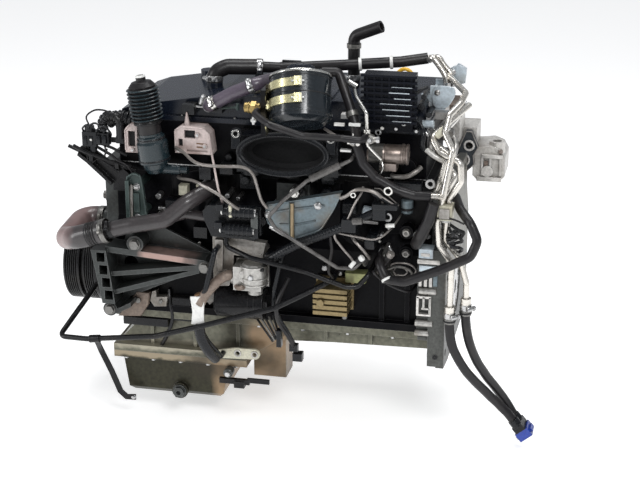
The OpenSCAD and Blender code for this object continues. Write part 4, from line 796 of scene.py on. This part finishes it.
p = Piece("front_wires", "rubber", "hose_rubber")
p.pipe(1.5, [(-601, -110, 236), (-602, -114, 222), (-594, -116, 214), (-586, -114, 220)],
       [(-590, -114, 236), (-584, -118, 222), (-572, -118, 226), (-566, -116, 240)],
       [(-596, -112, 276), (-602, -108, 290), (-590, -104, 300), (-574, -106, 302), (-558, -112, 300)],
       [(-574, -108, 260), (-566, -122, 240), (-548, -126, 226), (-530, -124, 216), (-520, -122, 200)])
p.use("plastic")
p.pipe(1.7, [(-600, -112, 262), (-606, -118, 272), (-596, -120, 280), (-586, -116, 272), (-592, -112, 262)],
       [(-588, -112, 262), (-594, -120, 276), (-582, -122, 284), (-572, -118, 274), (-578, -110, 262)],
       [(-574, -110, 262), (-580, -118, 272), (-568, -122, 280), (-558, -118, 268), (-562, -108, 258)])
for x, z in ((-604, 247), (-594, 247), (-581, 249), (-571, 249)):
    p.slab((x, -124, z), (x + 6, -121, z + 14))
p.use("bright")
p.pins((-590, 256, -122.5, -125, 2.2, 12))
p.make()

p = Piece("front_conduit", "plastic", "black_plastic")
p.corrugated(12.5, 6,
             [(-563, -104, 285), (-554, -104, 289), (-542, -104, 291), (-528, -104, 289), (-512, -102, 282)])
p.spin((-563, -104, 285), (-1, 0, -0.4), [(7, 0), (12.8, 0), (12.2, 2.4), (8, 2.4)], 36)
p.slabs((-527, -112, 303, -508, -98, 324), (-524, -114, 308, -512, -111, 319, "black_metal"))
p.pipe(2.6, [(-594, -116, 254), (-557, -116, 242), (-533, -114, 230)],
       [(-612, -114, 240), (-580, -114, 222), (-548, -112, 200)],
       [(-590, -112, 244), (-560, -112, 228), (-536, -112, 208)], steps=0)
p.make()

# Sump level switch with its bracket, washers on the tab, bosses
p = Piece("sump_switch", "black_metal", "black_paint")
p.slabs((-378, -142, -151, -326, -134, -142), (-330, -141, -147, -292, -136, -139),
        (-352, -146, -156, -334, -130, -144))
p.pins((-362, -131, -128, -146, 8, 24, "alu_grey"), (-362, -131, -146, -150, 5, 6, "steel"))
p.use("alu")
for x in (-347, -318):
    p.ring((x, -134.4, -97), (3.6, 6.4, 6.0, 4.0), 1.2)
p.make()

# Round sensor on the side of the block
p = Piece("sensors", "bright", "steel")
p.pins((-239, 205, -160, -178, 8, 28), (-239, 205, -178, -182, 5.5, 6),
       (-239, 205, -150, -162, 10, 28, "black_metal"), (-239, 205, -112, -150, 5, 16, "black_metal"))
p.make()

p = Piece("front_strip", "alu_pale", "bracket_grey")
p.prism([(-525, 136), (-524, 180), (-516, 193), (-513, 190), (-515, 138)], -151, -147.5, 0.03)
p.bars((-477, -112, 112, -475, -124, 92, 1.8, 10, "bright"), (-476, -100, 118, -477, -114, 112, 4, 16, "steel"),
       (-416, -104, 92, -411, -124, 90, 3, 12, "bright"))
p.make()

# Wire ends, couplings and loops on the block near the gearbox
p = Piece("block_wires", "line_grey", "hose_rubber")
p.pipe(1.5, [(-93, -118, 70), (-90, -134, 82), (-78, -140, 88), (-60, -138, 86), (-50, -132, 74),
             (-60, -130, 62), (-78, -128, 58), (-90, -120, 66)])
p.pipe(1.2,
       [(-88, -118, 66), (-82, -132, 78), (-72, -136, 80), (-64, -134, 72), (-70, -130, 64), (-82, -126, 62)])
p.pipe(2.4, [(-140, -112, 112), (-150, -140, 128), (-146, -170, 134), (-128, -176, 118), (-120, -164, 100)])
p.bars((-104, -160, 84, -86, -166, 111, 5.2, 16, "rubber"),
       (-89, -165, 107, -84, -167, 114, 6.2, 20, "line_grey"),
       (-149, -176, 88, -130, -178, 106, 4.4, 16, "rubber"),
       (-133, -178, 103, -128, -178, 108, 5.2, 20, "white"),
       (-94, -172, 160.5, -80, -172, 162, 3.4, 12, "white"),
       (-144, -188, 169, -128, -188, 171, 5.6, 8, "grey_rubber"),
       (-128, -186, 170, -104, -182, 168, 3, 12, "grey_rubber"))
p.use("steel")
p.ring((-118, -120, 120), (3.4, 7.4, 6.8, 4), 2, 28, -2)
p.pins((-118, 120, -96, -118, 5, 20, "dull_steel"))
p.bar((-126, -122, 128), (-110, -122, 114), 2.6, 12, "alu")
p.pins((-109, 126, -112, -124, 3.4, 6, "steel"))
p.make()

p = Piece("bronze_can", "bronze", "hot_iron")
p.lathe((-131, -134, 266), (1, 0, 0), [(6, 0), (14.5, 2), (15, 4), (15, 27), (14.3, 28), (14.3, 29), (15.5, 30),
                                       (15.5, 54), (13.5, 57), (11, 58)], 36)
p.use("dull_steel")
p.spin((-131, -134, 266), (1, 0, 0), [(14.8, 4), (15.5, 4.5), (15.5, 26), (14.8, 26.5)], 36)
p.use("bronze")
p.spin((-74, -134, 266.5), (1, 0, 0),
       [(8, -2), (16.6, -2), (16.6, 1), (15.2, 2), (15.2, 5), (16.6, 6), (16.6, 8), (8, 9)], 36)
p.slab((-109, -147, 241), (-83, -122, 254), "bronze")
p.pins((-118, 264, -124, -98, 7, 16, "dull_steel"), (-88, 264, -124, -98, 7, 16, "dull_steel"))
p.use("bright")
p.pipe(1.6, [(-106, -150, 261), (-103, -154, 253), (-103, -156, 247), (-106, -157, 240), (-112, -157, 235)],
       sides=10)
p.make()

# Painted highlights: thin pale bars along the corners of the cooling ribs
p = Piece("rib_highlights", "pale_blue", "black_plastic")
for k, x0 in enumerate((-92, -102, -108, -112, -90, -98, -94)):
    z = 310.1 + 9 * (k + 1)
    p.bar((x0, -136.5, z), (-62 - 2 * (k % 3), -136.5, z), 0.62 + 0.12 * (k % 3), 8)
p.make()

# Banjo unions, eyes and clips beside the bronze cylinder
p = Piece("banjo_unions", "steel", "steel")
for x, z, r in ((-146, 293, 8.5), (-121, 297, 7)):
    p.pins((x, z, -158, -170, r, 24, "alu"))
    p.ring((x, -170, z), (4, r - 1, r - 1.6, 4.6), 1.8)
    p.pins((x, z, -170, -175, 4.2, 6, "steel"))
p.bars((-157, -166, 290, -137, -166, 295, 4.2, 16, "bright"),
       (-132, -166, 297, -108, -166, 297, 4.6, 16, "alu"), (-112, -166, 297, -106, -166, 297, 5.6, 6, "steel"),
       (-146, -166, 296, -146, -166, 306, 3.6, 12, "bright"))
p.use("line_grey")
p.pipe(2.4, [(-196, -150, 305), (-184, -162, 303), (-176, -168, 301), (-167, -170, 297), (-156, -168, 295)])
p.use("bright")
p.ring((-90, -176, 219), (4, 7.5, 7, 4.4), 2)
p.ring((-143, -186, 212), (2.4, 4.6, 4.4, 2.6), 1.6, 24)
p.use("black_metal")
p.prism([(-114, 214), (-112, 221), (-103, 221), (-73, 196), (-84, 190), (-104, 200)], -174, -171)
p.pins((-98, 208, -172, -96, 4, 12))
p.use("line_grey")
p.pipe(0.9, [(-112, -175, 221.5), (-103, -175, 221.5), (-73, -175, 196), (-84, -175, 190)], sides=6, steps=0)
p.make()

p = Piece("rear_lines", "pipe", "steel")
for r, look, route in (
        (5, "pipe", [(-56, 6, 384), (-51, 0, 390), (-40, -4, 380), (-28, -10, 364), (-24, -12, 346)]),
        (4.6, "pipe", [(-48, 16, 384), (-43, 10, 389), (-32, 4, 378), (-20, 0, 365), (-16, 0, 348)]),
        (5.2, "bright", [(-2, -18, 318), (-1, -26, 310), (-4, -34, 303), (-16, -48, 290), (-25, -60, 281)]),
        (4.2, "alu", [(-4, 6, 322), (-6, -2, 312), (-16, -20, 302), (-25, -90, 297), (-33, -110, 286),
                      (-35, -112, 272), (-34, -96, 262)]),
        (5, "pipe", [(-34, -96, 284), (-30, -110, 281), (-6, -112, 263), (-11, -115, 249), (-20, -116, 212),
                     (-30, -104, 196)]),
        (4.4, "alu", [(-14, -40, 284), (-2, -60, 268), (-4, -70, 244), (-12, -80, 229), (-17, -100, 206),
                      (-22, -112, 190)]),
        (4.4, "pipe", [(-14, -92, 232), (-2, -104, 236), (4, -110, 228), (-2, -114, 214), (-14, -120, 190),
                       (-18, -130, 168), (-16, -120, 140), (-16, -100, 120)]),
        (4.4, "alu", [(-36, -150, 281), (-30, -152, 277), (-20, -154, 271), (-9, -152, 265)])):
    p.use(look).pipe(r, route, sides=12)
for q, d in (((-2, -24, 312), (1, -4, -5)), ((-24, -12, 350), (0, 0, 1)), ((-34, -100, 296), (0, -1, 0))):
    p.clamp(q, d, 5.6)
p.bars((-24, -130, 297, -9, -130, 311.999, 5.6, 20, "cream"), (-10, -130, 311, -6, -130, 315, 6.4, 20, "steel"))
p.slabs((-14, -104, 246, 0, -60, 254, "alu_pale"), (-30, -108, 318, -8, -92, 330, "dull_steel"),
        (-16, -44, 306, 4, 20, 326, "rust_grey"))
p.bars((4, -30, 316, 9, -30, 316, 5, 16, "bronze"), (4, -8, 318, 8, -8, 318, 6, 16, "steel"))
p.pins((-6, 298, -100, -116, 7, 20, "dull_steel"), (-2, 226, -92, -112, 8, 20, "alu_pale"))
p.make()

# Rounded faces of the two pipe plates, rims of the port plate, steps of the housing
p = Piece("pipe_plates", "pale_blue", "bracket_grey")
for y, pts in ((8.5, [(-25, 370), (-16, 376), (-4, 377), (3, 370), (3, 356), (-6, 345), (-14, 352),
                      (-24, 356)]),
               (-69.5, [(-39, 355), (-32, 361), (-24, 362), (-8, 360), (-4, 354), (-5, 345), (-13, 331),
                        (-19, 327), (-30, 326), (-38, 331), (-40, 343)])):
    curve = smooth([(x, y, z) for x, z in pts + pts[:1]], 4)[:-1]
    p.prism([(q.x, q.z) for q in curve], y, y + 3.5, 0.05)
    x, z = pts[0]
    p.bolt((x + 7, y, z - 4), (0, -1, 0), 4.2).use("pale_blue")
p.make()

p = Piece("boss_rings", "alu", "steel")
for z in (130, 95):
    p.ring((-70, -117.1, z), (2.6, 5.6, 5.2, 3.2), 1.2, 32)
p.make()

p = Piece("port_rims", "alu_white", "slate_plate")
p.ring((-2, 140, 206), (6.1, 10, 9.4, 6.6), 1.8, 36)
p.ring((-12, 140, 180), (9.1, 12.4, 12, 9.6), 1.4, 36)
p.spin((44, 166, 200), (0, 0, 1), [(8, -0.5), (12.5, -0.5), (12, 1.6), (8.6, 1.6)], 36)
p.use("line_grey")
edge = [(-30, 164), (-4, 160), (8, 172), (6, 188), (14, 204), (2, 232), (-8, 232), (-22, 196), (-34, 180),
        (-30, 164)]
p.tube([(x * 0.97 - 0.3, 139.4, 196 + (z - 196) * 0.97) for x, z in edge], 1.1, 8, steps=0)
p.use("alu_white")
for x in (19, 33, 50):
    p.slab((x, 145, 152), (x + 3.5, 150.5, 184))
p.slabs((12, 143, 142, 55, 150.5, 150), (20, 143, 184, 56, 150.5, 190),
        (24, 146, 160, 31, 150.5, 178, "rust_grey"))
p.pins((52, 196, 145, 150.5, 4, 16, "bronze"))
p.make()

# Bosses and pressed cells down the edge of the gearbox flange
p = Piece("flange_cells", "alu", "cast_aluminium")
for x0, x1, z, r in ((-46, -10, 96.5, 4.4), (-43, -14, 47, 6), (-48, -19, -9, 5.6), (-48, -25, -26, 5)):
    p.bar((x0, -148, z), (x1, -148, z), r, 24, "alu_white" if z > 90 else "alu")
p.slabs((-44, -152.5, 103, -21, -128, 119, "pale_blue"), (-40, -153.5, 107, -26, -152, 112, "alu_white"),
        (-43, -152.5, 81, -11, -128, 91, "pale_blue"))
for x in (-43, -34.5, -26.5):
    p.slab((x, -152.5, 55), (x + 5, -128, 79), "alu_white")
p.slab((-20, -152, 57), (-13, -149, 76), "heat")
for x0, x1, z0, z1 in ((-46, -42, 7, 38), (-36, -32.5, 18, 38), (-26, -22, 7, 38), (-46, -22, 35, 39),
                       (-46, -22, 5, 8), (-38, -24, 16, 19)):
    p.slab((x0, -152.5, z0), (x1, -128, z1), "alu_white" if x0 < -40 else "alu")
p.slab((-46, -146, -24), (-26, -128, 104), "flange")
p.use("black_metal")
p.ring((-14, -150.4, -66), (0.5, 4.4, 4.4, 0.5), 0.6, 20)
p.make()

# Bands, collars and screws at the tops of the hanging hoses
p = Piece("drop_clamps", "steel", "steel")
for x, y, z in ((10, -168, 8), (34, -160, 21)):
    p.clamp((x, y, z + 9), (0, 0, 1), 8.6, (1, -1, 0))
    p.bar((x, y, z + 15), (x, y, z + 19), 7.4, 24, "rust_grey")
    p.use("black_metal")
    p.hoop((x, y, z), (0, 0, 1), 9.4, 3, 0.8)
p.make()

p = Piece("rear_connectors", "cream", "cream_tab")
p.slabs((-14, -176, 176, 10, -150, 200), (-10, -180, 181, 6, -174, 196, "alu_pale"))
p.use("plastic")
p.pipe(2.6,
       [(4, -160, 160), (10, -172, 156), (22, -174, 150), (26, -168, 142), (16, -166, 138), (8, -170, 130)],
       [(0, -162, 150), (12, -174, 152), (20, -170, 158), (24, -164, 152), (14, -168, 144), (4, -172, 140)],
       [(2, -160, 140), (10, -170, 134), (22, -170, 132), (26, -162, 126), (18, -160, 120)],
       [(6, -162, 166), (18, -170, 162), (28, -166, 156), (24, -160, 146)])
p.slabs((2, -170, 136, 14, -156, 146), (10, -172, 150, 20, -160, 158))
p.pins((-14, 160, -168, -152, 5, 16, "steel"))
p.make()

# ---- Floor and light ----
FLOOR_GAP = 0.02
z = min(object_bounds()[0][2], solid_bounds[0][2]) - FLOOR_GAP
floor = bpy.data.meshes.new("floor")
floor.from_pydata([(-8, -6, z), (8, -6, z), (8, 9, z), (-8, 9, z)], [], [(0, 1, 2, 3)])
ground = bpy.data.objects.new("floor", floor)
scene.collection.objects.link(ground)
pale = bpy.data.materials.new("m_floor")
pale.use_nodes = True
for key, value in (("Base Color", (0.80, 0.80, 0.80, 1)), ("Roughness", 0.9), ("Emission Color", (1, 1, 1, 1)),
                   ("Emission Strength", 0.55)):
    pale.node_tree.nodes["Principled BSDF"].inputs[key].default_value = value
floor.materials.append(pale)

# The world: white behind the engine, a weak cool light on it
world = bpy.data.worlds.new("World")
world.use_nodes = True
wt = world.node_tree
near_bg, far_bg = wt.nodes["Background"], wt.nodes.new("ShaderNodeBackground")
for bg, color, strength in ((near_bg, (1, 1, 1, 1), 1.0), (far_bg, (0.93, 0.96, 1, 1), 0.36)):
    bg.inputs["Color"].default_value = color
    bg.inputs["Strength"].default_value = strength
path = wt.nodes.new("ShaderNodeLightPath")
either = wt.nodes.new("ShaderNodeMixShader")
wt.links.new(path.outputs["Is Camera Ray"], either.inputs["Fac"])
wt.links.new(far_bg.outputs["Background"], either.inputs[1])
wt.links.new(near_bg.outputs["Background"], either.inputs[2])
wt.links.new(either.outputs["Shader"], wt.nodes["World Output"].inputs["Surface"])
scene.world = world


def lamp(name, at, size, power, aim=(-0.25, 0, 0.1)):
    d = bpy.data.lights.new(name, "AREA")
    d.shape, d.size, d.size_y, d.energy = "RECTANGLE", size[0], size[1], power
    o = bpy.data.objects.new(name, d)
    scene.collection.objects.link(o)
    turn = (Vector(at) - Vector(aim)).to_track_quat("Z", "Y").to_matrix().to_4x4()
    o.matrix_world = Matrix.Translation(at) @ turn


lamp("Key", (0.9, -2.2, 2.0), (1.0, 0.8), 46)
lamp("Side", (-2.6, -1.4, 0.8), (0.7, 1.4), 24)
lamp("Top", (-0.3, 0.3, 2.4), (1.8, 0.7), 34)
scene.view_settings.view_transform = "Standard"
